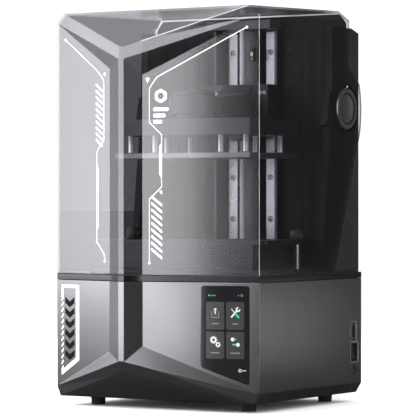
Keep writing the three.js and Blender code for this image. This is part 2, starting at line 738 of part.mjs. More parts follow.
const knobProfile = [
  [0, VAT.bottom + 0.4],
  [KNOB.screw, VAT.bottom + 0.4],
  [KNOB.screw, VAT.top + GAP],
  [KNOB.radius - 1, VAT.top + GAP],
  [KNOB.radius, VAT.top + 1.4],
  [KNOB.radius, VAT.top + KNOB.height - 5],
  [KNOB.radius - 1, VAT.top + KNOB.height - 2],
  [KNOB.radius - 4.5, VAT.top + KNOB.height],
  [0, VAT.top + KNOB.height],
];
for (const [place, side] of Object.entries({ left: -1, right: 1 })) {
  add(`vat_knob_${place}`, turned(knobProfile, side * KNOB.x, KNOB.y, 24), "black");
}

const TILT_MOTOR = { half: 13, front: 8, back: 38, below: 26, above: 7, shaft: 2.5, shaftLength: 20 };
add(
  "tilt_motor",
  join(
    block(
      [CAM.x - TILT_MOTOR.half, CAM.y + TILT_MOTOR.front, CAM.z - TILT_MOTOR.below],
      [CAM.x + TILT_MOTOR.half, CAM.y + TILT_MOTOR.back, CAM.z + TILT_MOTOR.above],
    ),
    rod("y", TILT_MOTOR.shaft, TILT_MOTOR.shaftLength, [CAM.x, CAM.y + 4, CAM.z], 16),
  ),
  "black",
);
add(
  "tilt_cam",
  cut(
    rod("y", CAM.radius, CAM.width, [CAM.x, CAM.y, CAM.z - CAM.throw], 48),
    rod("y", TILT_MOTOR.shaft + GAP, TILT_MOTOR.shaftLength, [CAM.x, CAM.y, CAM.z], 16),
  ),
  "steel",
);

// ---- Z column -------------------------------------------------------------------------------------
const RAIL_SLOT = 17; // half width of the slot that a carriage runs in
const COLUMN_SHEET = { inset: 8, depth: 7 }; // the channel along the column's back
const SCREW_CHANNEL = SCREW.y + 19;
const [columnLow, columnHigh] = [DECK_TOP - MARGIN, HOUSING_TOP + 2 * MARGIN];
const railBack = RAIL_SIZE.front + RAIL_SIZE.depth;
add(
  "z_column",
  cut(
    block([-COLUMN_HALF, COLUMN_FRONT, DECK_TOP + GAP], [COLUMN_HALF, COLUMN_BACK, HOUSING_TOP + 1]),
    ...[-RAIL_X, RAIL_X].map((x) =>
      block(
        [x - RAIL_SLOT, COLUMN_FRONT - MARGIN, columnLow],
        [x + RAIL_SLOT, railBack + GAP, columnHigh],
      ),
    ),
    block([-RAIL_X, COLUMN_FRONT - MARGIN, columnLow], [RAIL_X, SCREW_CHANNEL, columnHigh]),
    block(
      [-COLUMN_HALF + COLUMN_SHEET.inset, COLUMN_BACK - COLUMN_SHEET.depth, columnLow],
      [COLUMN_HALF - COLUMN_SHEET.inset, COLUMN_BACK + MARGIN, columnHigh],
    ),
  ),
  "anodised",
);
const BEARING = { front: 12, bottom: 1.4, top: 14 };
add(
  "top_bearing_block",
  cut(
    block(
      [-COLUMN_HALF, SCREW.y - BEARING.front, HOUSING_TOP + BEARING.bottom],
      [COLUMN_HALF, COLUMN_BACK, HOUSING_TOP + BEARING.top],
    ),
    rod("z", SCREW.radius + GAP, 2 * BEARING.top, [0, SCREW.y, HOUSING_TOP + BEARING.top / 2], 24),
  ),
  "anodised",
);

const ARM = { bottom: 378, top: 450, front: 88, back: COLUMN_FRONT - 1 };
const CARRIAGES = { bottom: 388, top: 440, half: 16, front: 6, back: 8 };
const BALL_GROOVE = { half: 1.5, front: 4, back: 7 };
for (const [place, side] of Object.entries({ left: -1, right: 1 })) {
  const x = side * RAIL_X;
  const rail = { front: RAIL_SIZE.front, half: RAIL_SIZE.width / 2 };
  const grooves = [-1, 1].map((edge) =>
    block(
      [x + edge * rail.half - BALL_GROOVE.half, rail.front + BALL_GROOVE.front, columnLow],
      [x + edge * rail.half + BALL_GROOVE.half, rail.front + BALL_GROOVE.back, columnHigh],
    ),
  );
  add(
    `z_rail_${place}`,
    cut(
      block([x - rail.half, rail.front, DECK_TOP + GAP], [x + rail.half, railBack, HOUSING_TOP - 0.5]),
      ...grooves,
    ),
    "steel",
  );
  add(
    `carriage_${place}`,
    cut(
      block(
        [x - CARRIAGES.half, rail.front - CARRIAGES.front, CARRIAGES.bottom],
        [x + CARRIAGES.half, rail.front + CARRIAGES.back, CARRIAGES.top],
      ),
      block(
        [x - rail.half - GAP, rail.front - GAP, CARRIAGES.bottom - MARGIN],
        [x + rail.half + GAP, railBack, CARRIAGES.top + MARGIN],
      ),
    ),
    "steel",
  );
}

const JOURNAL = { radius: 3.2, length: 10, chamfer: 1, top: 3.4, taper: 4 };
const screwProfile = [
  [0, SCREW.bottom],
  [JOURNAL.radius, SCREW.bottom],
  [JOURNAL.radius, SCREW.bottom + JOURNAL.length],
  [SCREW.radius, SCREW.bottom + JOURNAL.length + JOURNAL.chamfer],
  [SCREW.radius, SCREW.top - JOURNAL.taper],
  [JOURNAL.top, SCREW.top],
  [JOURNAL.top, SCREW.top + JOURNAL.length],
  [0, SCREW.top + JOURNAL.length],
];
add("ball_screw", turned(screwProfile, 0, SCREW.y, 24), "steel");
const NUT = { flange: 16, flangeHeight: 8, barrel: 9, barrelHeight: 26, bore: SCREW.radius + 0.15 };
const nutProfile = [
  [NUT.bore, ARM.bottom - NUT.flangeHeight],
  [NUT.flange, ARM.bottom - NUT.flangeHeight],
  [NUT.flange, ARM.bottom - GAP],
  [NUT.barrel, ARM.bottom - GAP],
  [NUT.barrel, ARM.bottom + NUT.barrelHeight],
  [NUT.bore, ARM.bottom + NUT.barrelHeight],
  [NUT.bore, ARM.bottom - NUT.flangeHeight],
];
add("screw_nut", turned(nutProfile, 0, SCREW.y, 32), "brass");

const MOTOR = { half: 21.2, top: BASE_TOP - 1, height: 48, shaft: 2.5, shaftLength: 16 };
add(
  "z_motor",
  join(
    block(
      [-MOTOR.half, SCREW.y - MOTOR.half, MOTOR.top - MOTOR.height],
      [MOTOR.half, SCREW.y + MOTOR.half, MOTOR.top],
    ),
    rod("z", MOTOR.shaft, MOTOR.shaftLength, [0, SCREW.y, MOTOR.top + 5], 16),
  ),
  "black",
);
const COUPLING = { radius: 9, bottom: MOTOR.top + 1, top: SCREW.bottom + 9, bore: 24 };
const couplingLength = COUPLING.top - COUPLING.bottom;
add(
  "screw_coupling",
  cut(
    rod("z", COUPLING.radius, couplingLength, [0, SCREW.y, COUPLING.bottom + couplingLength / 2]),
    rod("z", MOTOR.shaft + GAP, COUPLING.bore, [0, SCREW.y, COUPLING.bottom + 7.4], 16),
    rod("z", JOURNAL.radius + GAP, COUPLING.bore, [0, SCREW.y, SCREW.bottom + 11.6], 16),
  ),
  "aluminium",
);

// ---- Arm and build plate --------------------------------------------------------------------------
const COLLAR = { outer: 35, inner: DRUM.radius + GAP, bottom: 404, top: 428, neck: 20 };
const BOSS = { half: 13, margin: 2 };
const ARM_SLOPE = { shoulder: 8, brow: [6, 436], throat: [16, 400], heel: 391, half: 24, side: 3 };
const collarAt = (radius, extra) =>
  rod("z", radius, COLLAR.top - COLLAR.bottom + extra, [0, DRUM.y, (COLLAR.top + COLLAR.bottom) / 2]);
const boss = (x) =>
  block(
    [x - BOSS.half, ARM.back - MARGIN, CARRIAGES.bottom + BOSS.margin],
    [x + BOSS.half, RAIL_SIZE.front - CARRIAGES.front - GAP, CARRIAGES.top - BOSS.margin],
  );
const armSide = shapeOf([
  [ARM.back, ARM.bottom],
  [ARM.back, ARM.top],
  [ARM.front + ARM_SLOPE.shoulder, ARM.top],
  [ARM.front - ARM_SLOPE.brow[0], ARM_SLOPE.brow[1]],
  [DRUM.y + COLLAR.neck, COLLAR.top],
  [DRUM.y + COLLAR.neck, COLLAR.bottom],
  [ARM.front - ARM_SLOPE.throat[0], ARM_SLOPE.throat[1]],
  [ARM.front, ARM_SLOPE.heel],
  [ARM.front, ARM.bottom],
]);
const armBack = block(
  [-COLUMN_HALF + ARM_SLOPE.side, ARM.front + ARM_SLOPE.shoulder, ARM.bottom],
  [COLUMN_HALF - ARM_SLOPE.side, ARM.back, ARM.top],
);
add(
  "z_arm",
  cut(
    join(
      profileAlongX(armSide, -ARM_SLOPE.half, ARM_SLOPE.half),
      armBack,
      collarAt(COLLAR.outer, 0),
      boss(-RAIL_X),
      boss(RAIL_X),
    ),
    collarAt(COLLAR.inner, 10),
    rod("z", NUT.barrel + GAP, 2 * (NUT.barrelHeight + MARGIN), [0, SCREW.y, ARM.bottom], 32),
    rod("z", SCREW.radius + 1, 200, [0, SCREW.y, ARM.top - 30], 24),
  ),
  "anodised",
);

const plateSpan = (margin, z0, z1, radius) => {
  const [x, y] = [PLATE.width / 2 - margin, PLATE.depth / 2 - margin];
  return plate(-x, PLATE.y - y, x, PLATE.y + y, radius, z0, z1);
};
add("plate_head", plateSpan(0, PLATE.headBottom, PLATE.headTop, 3), "anodised");
add("build_plate", plateSpan(1.5, PLATE.bottom, PLATE.top, 2), "aluminium");
const postProfile = [
  [0, PLATE.top + GAP],
  [POST.nut, PLATE.top + GAP],
  [POST.nut, PLATE.top + POST.collar],
  [POST.shaft, PLATE.top + POST.collar + 1],
  [POST.shaft, PLATE.headBottom - GAP],
  [0, PLATE.headBottom - GAP],
];
const postPlaces = POST.columns.flatMap((x) => POST.rows.map((dy) => [x, PLATE.y + dy]));
postPlaces.forEach(([x, y], i) => add(`plate_post_${i + 1}`, turned(postProfile, x, y, 16), "steel"));
add(
  "plate_drum",
  turned(
    [
      [0, DRUM.bottom],
      [DRUM.radius, DRUM.bottom],
      [DRUM.radius, DRUM.top - GAP],
      [0, DRUM.top - GAP],
    ],
    0,
    DRUM.y,
    40,
  ),
  "anodised",
);
const LOCK_CAP = { overhang: 2, edge: 6, height: 8 };
add(
  "plate_lock_cap",
  turned(
    [
      [0, DRUM.top],
      [DRUM.radius + LOCK_CAP.overhang, DRUM.top],
      [DRUM.radius + LOCK_CAP.overhang, DRUM.top + LOCK_CAP.edge],
      [DRUM.radius, DRUM.top + LOCK_CAP.height],
      [0, DRUM.top + LOCK_CAP.height],
    ],
    0,
    DRUM.y,
    40,
  ),
  "black",
);

// ---- Rear housing -----------------------------------------------------------------------------------
const WING_BOTTOM = LID_BOTTOM - GAP;
const WING = {
  foot: 55.9,
  front: 87,
  chamfer: [22, 6], // along y and z, at the top of the back
  hinge: { top: 435.5, brow: [80, 435], cheek: [71, 389], chin: [80.5, 388], heel: [80, 368] },
  skin: 3,
};
// One side of the housing in (y, z): a slanted lower edge, a step around the hinge, a chamfered back.
const wingEdge = [
  [WING.foot, WING_BOTTOM],
  [BACK - 1, WING_BOTTOM],
  [BACK - 1, HOUSING_TOP - WING.chamfer[1]],
  [BACK - WING.chamfer[0], HOUSING_TOP],
  [WING.front, HOUSING_TOP],
  [WING.front, WING.hinge.top],
  WING.hinge.brow,
  WING.hinge.cheek,
  WING.hinge.chin,
  WING.hinge.heel,
];
const RECESS = { depth: 1.2, front: 78, back: 118, bottom: 392, top: 432 };
const wing = cut(
  profileAlongX(shapeOf(wingEdge), WING_INNER, HOUSING_HALF),
  profileAlongX(shapeOf(inset(wingEdge, WING.skin)), WING_INNER + WING.skin, HOUSING_HALF - WING.skin),
  block(
    [WING_INNER + WING.skin, BACK - 10, WING_BOTTOM + WING.skin],
    [HOUSING_HALF - WING.skin, BACK, HOUSING_TOP - 9],
  ),
  block(
    [HOUSING_HALF - RECESS.depth, RECESS.front, RECESS.bottom],
    [HOUSING_HALF + MARGIN, RECESS.back, RECESS.top],
  ),
  rod("x", PIN_RADIUS + GAP, 40, [HOUSING_HALF - 10, HINGE.y, HINGE.z], 28),
);
// The wall behind the plate, from the column to the wing, and the hood over it inside the lid's crown.
const INNER_WALL = { front: 128, edge: COLUMN_HALF + 3, back: BACK - 4.5, skin: 3 };
const HOOD_WALL = { back: 134, outer: 140, top: 541 };
const sideWall = join(
  cut(
    block(
      [INNER_WALL.edge, INNER_WALL.front, WING_BOTTOM],
      [WING_INNER + MARGIN, INNER_WALL.back, HOUSING_TOP],
    ),
    block(
      [INNER_WALL.edge + INNER_WALL.skin, INNER_WALL.front + INNER_WALL.skin, WING_BOTTOM + INNER_WALL.skin],
      [WING_INNER - MARGIN, BACK, HOUSING_TOP - INNER_WALL.skin],
    ),
  ),
  block(
    [INNER_WALL.edge, INNER_WALL.front, HOUSING_TOP - MARGIN],
    [HOOD_WALL.outer, HOOD_WALL.back, HOOD_WALL.top],
  ),
);
const topBridge = block(
  [-INNER_WALL.edge - MARGIN, COLUMN_BACK + GAP, HOUSING_TOP - 12],
  [INNER_WALL.edge + MARGIN, INNER_WALL.back, HOUSING_TOP],
);
add(
  "rear_housing",
  join(wing, mirrorX(wing), sideWall, mirrorX(sideWall), topBridge),
  "housing",
);
const COVER = { side: 2, thickness: 4.2, below: 8 };
add(
  "rear_cover",
  block(
    [-WING_INNER + COVER.side, BACK - COVER.thickness, WING_BOTTOM],
    [WING_INNER - COVER.side, BACK, HOUSING_TOP - COVER.below],
  ),
  "housing",
);
const pin = rod("x", PIN_RADIUS, PIN_LENGTH, [HOUSING_HALF - 3.6, HINGE.y, HINGE.z], 28);
add("hinge_pin_right", pin, "steel");
add("hinge_pin_left", mirrorX(pin), "steel");

// ---- Lid ----------------------------------------------------------------------------------------------
// The lid's side outline in (y, z): its rear edge slants, then swells into an ear around the hinge.
const EAR = {
  foot: 87.2,
  start: [157.1, 369.3],
  lower: [BACK, 389],
  middle: [BACK - 0.1, 412],
  upper: [BACK, 434],
  end: [158.6, 450],
  neck: 471.6,
};
const CLEAR = 5; // how far the outline passes the lid's own faces
const lidSide = new THREE.Shape();
lidSide.moveTo(FRONT - CLEAR, LID_BOTTOM);
lidSide.lineTo(EAR.foot, LID_BOTTOM);
lidSide.lineTo(...EAR.start);
lidSide.quadraticCurveTo(...EAR.lower, ...EAR.middle);
lidSide.quadraticCurveTo(...EAR.upper, ...EAR.end);
lidSide.lineTo(LID_REAR, EAR.neck);
lidSide.lineTo(LID_REAR, LID_FACETS.rear);
lidSide.lineTo(LID_REAR - 7, HEIGHT);
lidSide.lineTo(LID_REAR - 9, HEIGHT + CLEAR);
lidSide.lineTo(FRONT - CLEAR, HEIGHT + CLEAR);
const lidShell = cut(
  lidLoft(0, LID_BOTTOM - 2 * MARGIN, BACK + CLEAR - MARGIN),
  lidLoft(WALL, LID_BOTTOM - 9 * MARGIN, BACK + 6 * CLEAR),
);
const hubHole = rod("x", HUB_RADIUS + GAP, WIDTH + 4 * CLEAR, [0, HINGE.y, HINGE.z], 48);
const lidProfile = profileAlongX(lidSide, -HALF - CLEAR, HALF + CLEAR);
add("lid", cut(common(lidShell, lidProfile), hubHole), "smoke");

const HUB_DISC = 2.8;
const hub = cut(
  join(
    rod("x", HUB_RADIUS, HUB_DISC, [HALF - 1.5, HINGE.y, HINGE.z], 48),
    rod(
      "x",
      HUB_RADIUS + HUB_FLANGE.extra,
      HUB_FLANGE.thickness,
      [HOUSING_HALF + 0.8, HINGE.y, HINGE.z],
      48,
    ),
  ),
  rod("x", PIN_RADIUS + 0.4, 2 * HUB_DISC, [HOUSING_HALF - 0.4, HINGE.y, HINGE.z], 28),
);
add("hinge_hub_right", hub, "housing");
add("hinge_hub_left", mirrorX(hub), "housing");

export default printer;
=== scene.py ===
import json
import math
import bmesh
import bpy
from mathutils import Matrix, Vector


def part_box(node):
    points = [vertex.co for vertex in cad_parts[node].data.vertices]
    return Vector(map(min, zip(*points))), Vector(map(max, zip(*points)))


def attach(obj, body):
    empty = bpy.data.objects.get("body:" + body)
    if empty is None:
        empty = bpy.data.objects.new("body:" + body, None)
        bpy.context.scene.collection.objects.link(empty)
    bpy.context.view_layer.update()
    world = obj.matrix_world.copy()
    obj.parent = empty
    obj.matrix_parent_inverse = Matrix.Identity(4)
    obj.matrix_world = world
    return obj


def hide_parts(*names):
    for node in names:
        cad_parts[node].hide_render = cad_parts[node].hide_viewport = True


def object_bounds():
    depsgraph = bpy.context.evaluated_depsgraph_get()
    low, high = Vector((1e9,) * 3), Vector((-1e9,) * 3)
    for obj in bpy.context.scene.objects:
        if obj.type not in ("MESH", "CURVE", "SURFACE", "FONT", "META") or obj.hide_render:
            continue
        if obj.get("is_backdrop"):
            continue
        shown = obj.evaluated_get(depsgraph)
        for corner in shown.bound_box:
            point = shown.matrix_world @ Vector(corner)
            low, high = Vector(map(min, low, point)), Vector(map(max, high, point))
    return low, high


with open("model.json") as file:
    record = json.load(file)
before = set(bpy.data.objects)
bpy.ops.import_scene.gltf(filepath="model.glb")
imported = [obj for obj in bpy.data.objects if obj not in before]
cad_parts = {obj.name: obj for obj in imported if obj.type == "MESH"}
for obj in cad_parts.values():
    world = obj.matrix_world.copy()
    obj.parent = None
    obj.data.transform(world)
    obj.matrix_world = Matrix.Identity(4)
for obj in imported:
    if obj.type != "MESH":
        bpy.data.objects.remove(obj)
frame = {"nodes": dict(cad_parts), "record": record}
cad_low, cad_high = (corner.copy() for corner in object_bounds())

MM = 0.001
SHARP = 24.0  # an edge that folds by more degrees than this is rounded off
EVEN = (1.0, 1.0, 1.0)


def box(node):
    """The lowest and highest corner of a CAD node, in millimetres."""
    low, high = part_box(node)
    return low / MM, high / MM


# ---- Materials ----
class Nodes:
    """The emptied node tree of a material or a world."""

    def __init__(self, owner):
        owner.use_nodes = True
        self.tree = owner.node_tree
        self.tree.nodes.clear()

    def node(self, kind, settings=None, **values):
        made = self.tree.nodes.new(kind)
        for key, value in (settings or {}).items():
            setattr(made, key, value)
        for key, value in values.items():
            made.inputs[key.replace("_", " ")].default_value = value
        return made

    def link(self, source, output, target, socket):
        self.tree.links.new(source.outputs[output], target.inputs[socket])


class Paint(Nodes):
    """A node material: its shader and its object coordinates in metres."""

    def __init__(self, name):
        self.material = bpy.data.materials.new(name)
        super().__init__(self.material)
        self.output = self.node("ShaderNodeOutputMaterial")
        self.shader = self.node("ShaderNodeBsdfPrincipled")
        self.link(self.shader, "BSDF", self.output, "Surface")
        self.place = self.node("ShaderNodeTexCoord")

    def blend(self, share, output, first, second):
        """The surface as a mix of two shaders."""
        mix = self.node("ShaderNodeMixShader")
        self.link(share, output, mix, "Fac")
        self.link(first, "BSDF", mix, 1)
        self.link(second, "BSDF", mix, 2)
        self.link(mix, "Shader", self.output, "Surface")

    def set(self, **values):
        for key, value in values.items():
            self.shader.inputs[key.replace("_", " ")].default_value = value

    def coordinates(self, stretch):
        mapping = self.node("ShaderNodeMapping")
        mapping.inputs["Scale"].default_value = stretch
        self.link(self.place, "Object", mapping, "Vector")
        return mapping

    def noise(self, scale, detail=3.0, stretch=EVEN, roughness=0.55):
        noise = self.node("ShaderNodeTexNoise", Scale=scale, Detail=detail, Roughness=roughness)
        self.link(self.coordinates(stretch), "Vector", noise, "Vector")
        return noise

    def spread(self, source, output, low, high, start=0.2, end=0.8):
        """Maps a texture's middle values, or a whole 0..1 value, onto low..high."""
        ease = "LINEAR" if start == 0.0 else "SMOOTHSTEP"
        ramp = self.node("ShaderNodeMapRange", {"interpolation_type": ease},
                         From_Min=start, From_Max=end, To_Min=low, To_Max=high)
        self.link(source, output, ramp, "Value")
        return ramp

    def colours(self, source, output, first, second, start=0.2, end=0.8):
        """A base colour that wanders between two colours with a texture."""
        share = self.spread(source, output, 0.0, 1.0, start, end)
        mix = self.node("ShaderNodeMix", {"data_type": "RGBA"})
        mix.inputs[6].default_value = (*first, 1)
        mix.inputs[7].default_value = (*second, 1)
        self.link(share, "Result", mix, 0)
        self.link(mix, 2, self.shader, "Base Color")

    def gloss(self, source, first, second):
        """A roughness that wanders between two values with a texture."""
        level = self.spread(source, "Fac", first, second)
        self.link(level, "Result", self.shader, "Roughness")

    def bump(self, source, strength, distance):
        bump = self.node("ShaderNodeBump", Strength=strength, Distance=distance)
        self.link(source, "Fac", bump, "Height")
        self.link(bump, "Normal", self.shader, "Normal")


def tints(colour, dark, light):
    """Two tints of one colour."""
    return [tuple(min(1.0, channel * factor) for channel in colour) for factor in (dark, light)]


def grained(name, colour, roughness, metallic=0.0, scale=900.0, depth=0.00006, tint=0.12, **extra):
    """A painted, moulded, cast or ground surface: fine grain, soft wear in colour and in gloss."""
    paint = Paint(name)
    wear = paint.noise(14.0)
    paint.colours(wear, "Fac", *tints(colour, 1 - tint, 1 + tint))
    paint.gloss(wear, roughness + 0.06, roughness - 0.06)
    paint.bump(paint.noise(scale, 4.0), 0.35, depth)
    paint.set(Metallic=metallic, **extra)
    return paint.material


def brushed(name, colour, roughness, metallic=1.0, along=0):
    """Metal with fine lines along one axis."""
    stretch = [1.0, 1.0, 1.0]
    stretch[along] = 0.012
    paint = Paint(name)
    lines = paint.noise(2600.0, 2.0, stretch, 0.7)
    paint.colours(lines, "Fac", *tints(colour, 0.86, 1.1), 0.25, 0.75)
    paint.gloss(paint.noise(20.0, 2.0), roughness + 0.02, roughness - 0.02)
    paint.bump(lines, 0.08, 0.00002)
    paint.set(Metallic=metallic)
    return paint.material


def metallic_paint(name, colour, roughness):
    """Satin metallic lacquer: flakes, a faint orange peel and a thin clear coat."""
    paint = Paint(name)
    flakes = paint.node("ShaderNodeTexVoronoi", Scale=5200.0)
    paint.link(paint.place, "Object", flakes, "Vector")
    paint.colours(flakes, "Distance", *tints(colour, 1.1, 0.9), 0.1, 0.8)
    paint.gloss(paint.noise(9.0, 2.0), roughness + 0.03, roughness - 0.03)
    paint.bump(paint.noise(420.0, 2.0), 0.12, 0.00005)
    paint.set(Metallic=0.95, Coat_Weight=0.08, Coat_Roughness=0.2)
    return paint.material


def glassy(name, colour, roughness, alpha=1.0):
    """Polished glass or clear film, with faint smears in its gloss."""
    paint = Paint(name)
    smears = paint.noise(26.0, 5.0, (1, 1, 0.4))
    paint.colours(smears, "Fac", *tints(colour, 1.0, 1.15))
    paint.gloss(smears, roughness, roughness + 0.05)
    paint.bump(paint.noise(1500.0, 2.0), 0.03, 0.00002)
    paint.set(IOR=1.5, Alpha=alpha)
    return paint.material


def glowing(name, colour, strength):
    """A lit mark behind the cover glass: it glows, with the fine rows of a display."""
    paint = Paint(name)
    rows = paint.node("ShaderNodeTexWave", {"bands_direction": "Z"}, Scale=1600.0)
    paint.link(paint.place, "Object", rows, "Vector")
    level = paint.spread(rows, "Fac", strength * 0.88, strength, 0.0, 1.0)
    paint.link(level, "Result", paint.shader, "Emission Strength")
    paint.colours(paint.noise(500.0, 2.0), "Fac", *tints(colour, 0.10, 0.14))
    paint.set(Roughness=0.12, Emission_Color=(*colour, 1))
    return paint.material


def clear_panel(name, colour, veil, through, roughness):
    """Smoked clear plastic: a tinted view through it, and a gloss that grows at grazing angles."""
    paint = Paint(name)
    smears = paint.noise(7.0, 4.0, (1, 1, 0.35))
    paint.colours(smears, "Fac", *tints(colour, 0.94, 1.06))
    paint.gloss(smears, roughness, roughness + 0.05)
    paint.set(Metallic=1.0)
    clear = paint.node("ShaderNodeBsdfTransparent", Color=(*through, 1))
    facing = paint.node("ShaderNodeLayerWeight", Blend=0.5)
    grazing = paint.node("ShaderNodeMath", {"operation": "POWER"})
    grazing.inputs[1].default_value = 4.0
    paint.link(facing, "Facing", grazing, 0)
    share = paint.spread(grazing, "Value", veil, 0.9, 0.0, 1.0)
    paint.blend(share, "Result", clear, paint.shader)
    return paint.material


def circuit(name):
    """Solder mask over copper tracks."""
    paint = Paint(name)
    tracks = paint.node("ShaderNodeTexBrick", Scale=160.0, Mortar_Size=0.03, Color1=(0.006, 0.05, 0.02, 1),
                        Color2=(0.008, 0.065, 0.028, 1), Mortar=(0.03, 0.16, 0.07, 1))
    paint.link(paint.coordinates(EVEN), "Vector", tracks, "Vector")
    paint.link(tracks, "Color", paint.shader, "Base Color")
    paint.bump(tracks, 0.2, 0.00004)
    paint.set(Roughness=0.3)
    return paint.material


SHELL = metallic_paint("shell_paint", (0.165, 0.165, 0.174), 0.25)
RIM = metallic_paint("rim_paint", (0.043, 0.043, 0.047), 0.22)
HOUSING = grained("housing_plastic", (0.012, 0.012, 0.013), 0.55, 0.0, 420, 0.00002,
                  Specular_IOR_Level=0.12)
# Black print, also used as painted shade in the hinge hubs' gap and groove and in the rail screws' hex
# sockets.
INK_AND_SHADE = grained("black_print_and_painted_shade", (0.003, 0.003, 0.003), 0.8, 0.0, 1800, 0.00002, Specular_IOR_Level=0.1)
BLACK = grained("black_plastic", (0.012, 0.012, 0.013), 0.42, 0.0, 1200, 0.00006)
GLOSS_BLACK = grained("gloss_black_plastic", (0.010, 0.010, 0.011), 0.2, 0.0, 900, 0.00002)
RUBBER = grained("rubber", (0.013, 0.013, 0.013), 0.75, 0.0, 1500, 0.00012, Specular_IOR_Level=0.3)
GLASS = glassy("cover_glass", (0.006, 0.006, 0.007), 0.05)
STEEL = brushed("ground_steel", (0.33, 0.33, 0.34), 0.28, along=2)
POST_STEEL = brushed("post_steel", (0.80, 0.80, 0.82), 0.30, 0.6, along=2)
THREAD_STEEL = brushed("thread_steel", (0.95, 0.95, 0.97), 0.34, 0.4)
STEEL_TURNED = brushed("turned_steel", (0.50, 0.50, 0.52), 0.26)
SCREW_STEEL = grained("screw_steel", (0.36, 0.36, 0.37), 0.34, 0.9, 1400, 0.00002)
DARK_SCREW = grained("dark_screw", (0.03, 0.03, 0.032), 0.32, 0.7, 1400, 0.00002)
ALUMINIUM = brushed("satin_aluminium", (0.36, 0.36, 0.375), 0.36)
ANODISED = brushed("dark_anodised", (0.040, 0.040, 0.044), 0.38, 0.85)
COLUMN = brushed("column_anodised", (0.062, 0.062, 0.068), 0.36, 0.85, along=2)
HEAD = grained("cast_anodised", (0.026, 0.026, 0.029), 0.40, 0.4, 500, 0.00003)
HEADER = grained("header_plastic", (0.075, 0.075, 0.080), 0.45, 0.2, 500, 0.00003)
LASERED = grained("lasered_plate", (0.20, 0.20, 0.21), 0.5, 0.9, 2600, 0.00016, 0.2)
HUB_RING = grained("hub_ring", (0.050, 0.050, 0.055), 0.3, 0.6, 700, 0.00002)
HUB_DISC = grained("hub_disc", (0.022, 0.022, 0.024), 0.4, 0.2, 700, 0.00002)
BRASS = brushed("dark_bronze", (0.10, 0.086, 0.060), 0.36)
BOARD = circuit("circuit_board")
FILM = glassy("release_film", (0.55, 0.56, 0.62), 0.1, alpha=0.28)
EMITTER = glassy("emitters", (0.5, 0.5, 0.55), 0.3)
COPPER = grained("contacts", (0.70, 0.50, 0.24), 0.25, 1.0, 900, 0.00001)
PRINT = grained("white_print", (0.86, 0.86, 0.87), 0.45, 0.0, 1800, 0.00003, 0.05)
FAINT_PRINT = grained("grey_print", (0.11, 0.11, 0.115), 0.5, 0.0, 1800, 0.00003, 0.05)
LID = clear_panel("lid_smoke", (0.88, 0.88, 0.91), 0.085, (0.68, 0.68, 0.70), 0.13)
LID_INSIDE = clear_panel("lid_inside", (0.5, 0.5, 0.53), 0.02, (0.93, 0.93, 0.95), 0.2)
LID_EDGE = clear_panel("lid_edge", (0.9, 0.9, 0.93), 0.34, (0.85, 0.85, 0.87), 0.3)
LID_CORNER = clear_panel("lid_corner", (0.9, 0.9, 0.93), 0.36, (0.8, 0.8, 0.82), 0.3)
LID_REAR = clear_panel("lid_rear_rim", (0.8, 0.8, 0.83), 0.2, (0.4, 0.4, 0.42), 0.3)
SCREEN_WHITE = glowing("screen_white", (0.85, 0.87, 0.90), 0.85)
SCREEN_TILE = glowing("screen_tile", (0.16, 0.16, 0.17), 0.07)
SCREEN_GREY = glowing("screen_grey", (0.5, 0.5, 0.52), 0.28)
SCREEN_GREEN = glowing("screen_green", (0.05, 0.75, 0.42), 0.65)


# ---- Solids: each is (points in millimetres, faces) ----
def axis_of(node, along="z"):
    """The middle of a CAD node, at 0 along the axis that it is turned about."""
    middle = [(a + b) / 2 for a, b in zip(*box(node))]
    middle["xyz".index(along)] = 0.0
    return middle


def in_scene(name, data):
    made = bpy.data.objects.new(name, data)
    bpy.context.scene.collection.objects.link(made)
    return made


def face_outwards(mesh):
    bm = bmesh.new()
    bm.from_mesh(mesh)
    bmesh.ops.recalc_face_normals(bm, faces=bm.faces[:])
    bm.to_mesh(mesh)
    bm.free()


def from_bmesh(bm):
    bm.verts.ensure_lookup_table()
    solid = ([v.co.copy() for v in bm.verts], [[v.index for v in f.verts] for f in bm.faces])
    bm.free()
    return solid


def to_bmesh(solid):
    bm = bmesh.new()
    verts = [bm.verts.new(point) for point in solid[0]]
    for face in solid[1]:
        bm.faces.new([verts[i] for i in face])
    bm.normal_update()
    bm.verts.index_update()
    return bm


def joined(*solids):
    points, faces = [], []
    for some_points, some_faces in solids:
        start = len(points)
        points += some_points
        faces += [[i + start for i in face] for face in some_faces]
    return points, faces


def moved(solid, matrix):
    return [matrix @ Vector(point) for point in solid[0]], solid[1]


def polar(radius, angle, x=0.0, y=0.0):
    return x + radius * math.cos(angle), y + radius * math.sin(angle)


def circle(x, y, radius, count=32):
    return [polar(radius, math.tau * i / count, x, y) for i in range(count)]


def ring(radius, height, sides, centre=(0.0, 0.0)):
    """The corners of a level circle."""
    return [(x, y, height) for x, y in circle(*centre, radius, sides)]


def loft(rings, endless=False):
    """A skin over rings of equally many corners, closed at its ends or joined back to the first ring."""
    count = len(rings[0])
    points = [Vector(point) for some in rings for point in some]
    faces = []
    for level in range(len(rings) if endless else len(rings) - 1):
        a = level * count
        b = (level + 1) % len(rings) * count
        faces += [[a + i, a + (i + 1) % count, b + (i + 1) % count, b + i] for i in range(count)]
    if not endless:
        faces.append(list(range(count))[::-1])
        faces.append(list(range(len(points) - count, len(points))))
    return points, faces


def axis_matrix(axis, centre):
    turns = {
        "z": Matrix.Identity(4),
        "-z": Matrix.Rotation(math.pi, 4, "X"),
        "x": Matrix.Rotation(math.pi / 2, 4, "Y"),
        "-x": Matrix.Rotation(-math.pi / 2, 4, "Y"),
        "y": Matrix.Rotation(-math.pi / 2, 4, "X"),
        "-y": Matrix.Rotation(math.pi / 2, 4, "X"),
    }
    return Matrix.Translation(centre) @ turns[axis]


def turned(profile, centre, axis="z", sides=64):
    """A lathe solid: the profile is [radius, height] pairs along the axis."""
    rings = [ring(radius, height, sides) for radius, height in profile]
    return moved(loft(rings), axis_matrix(axis, centre))


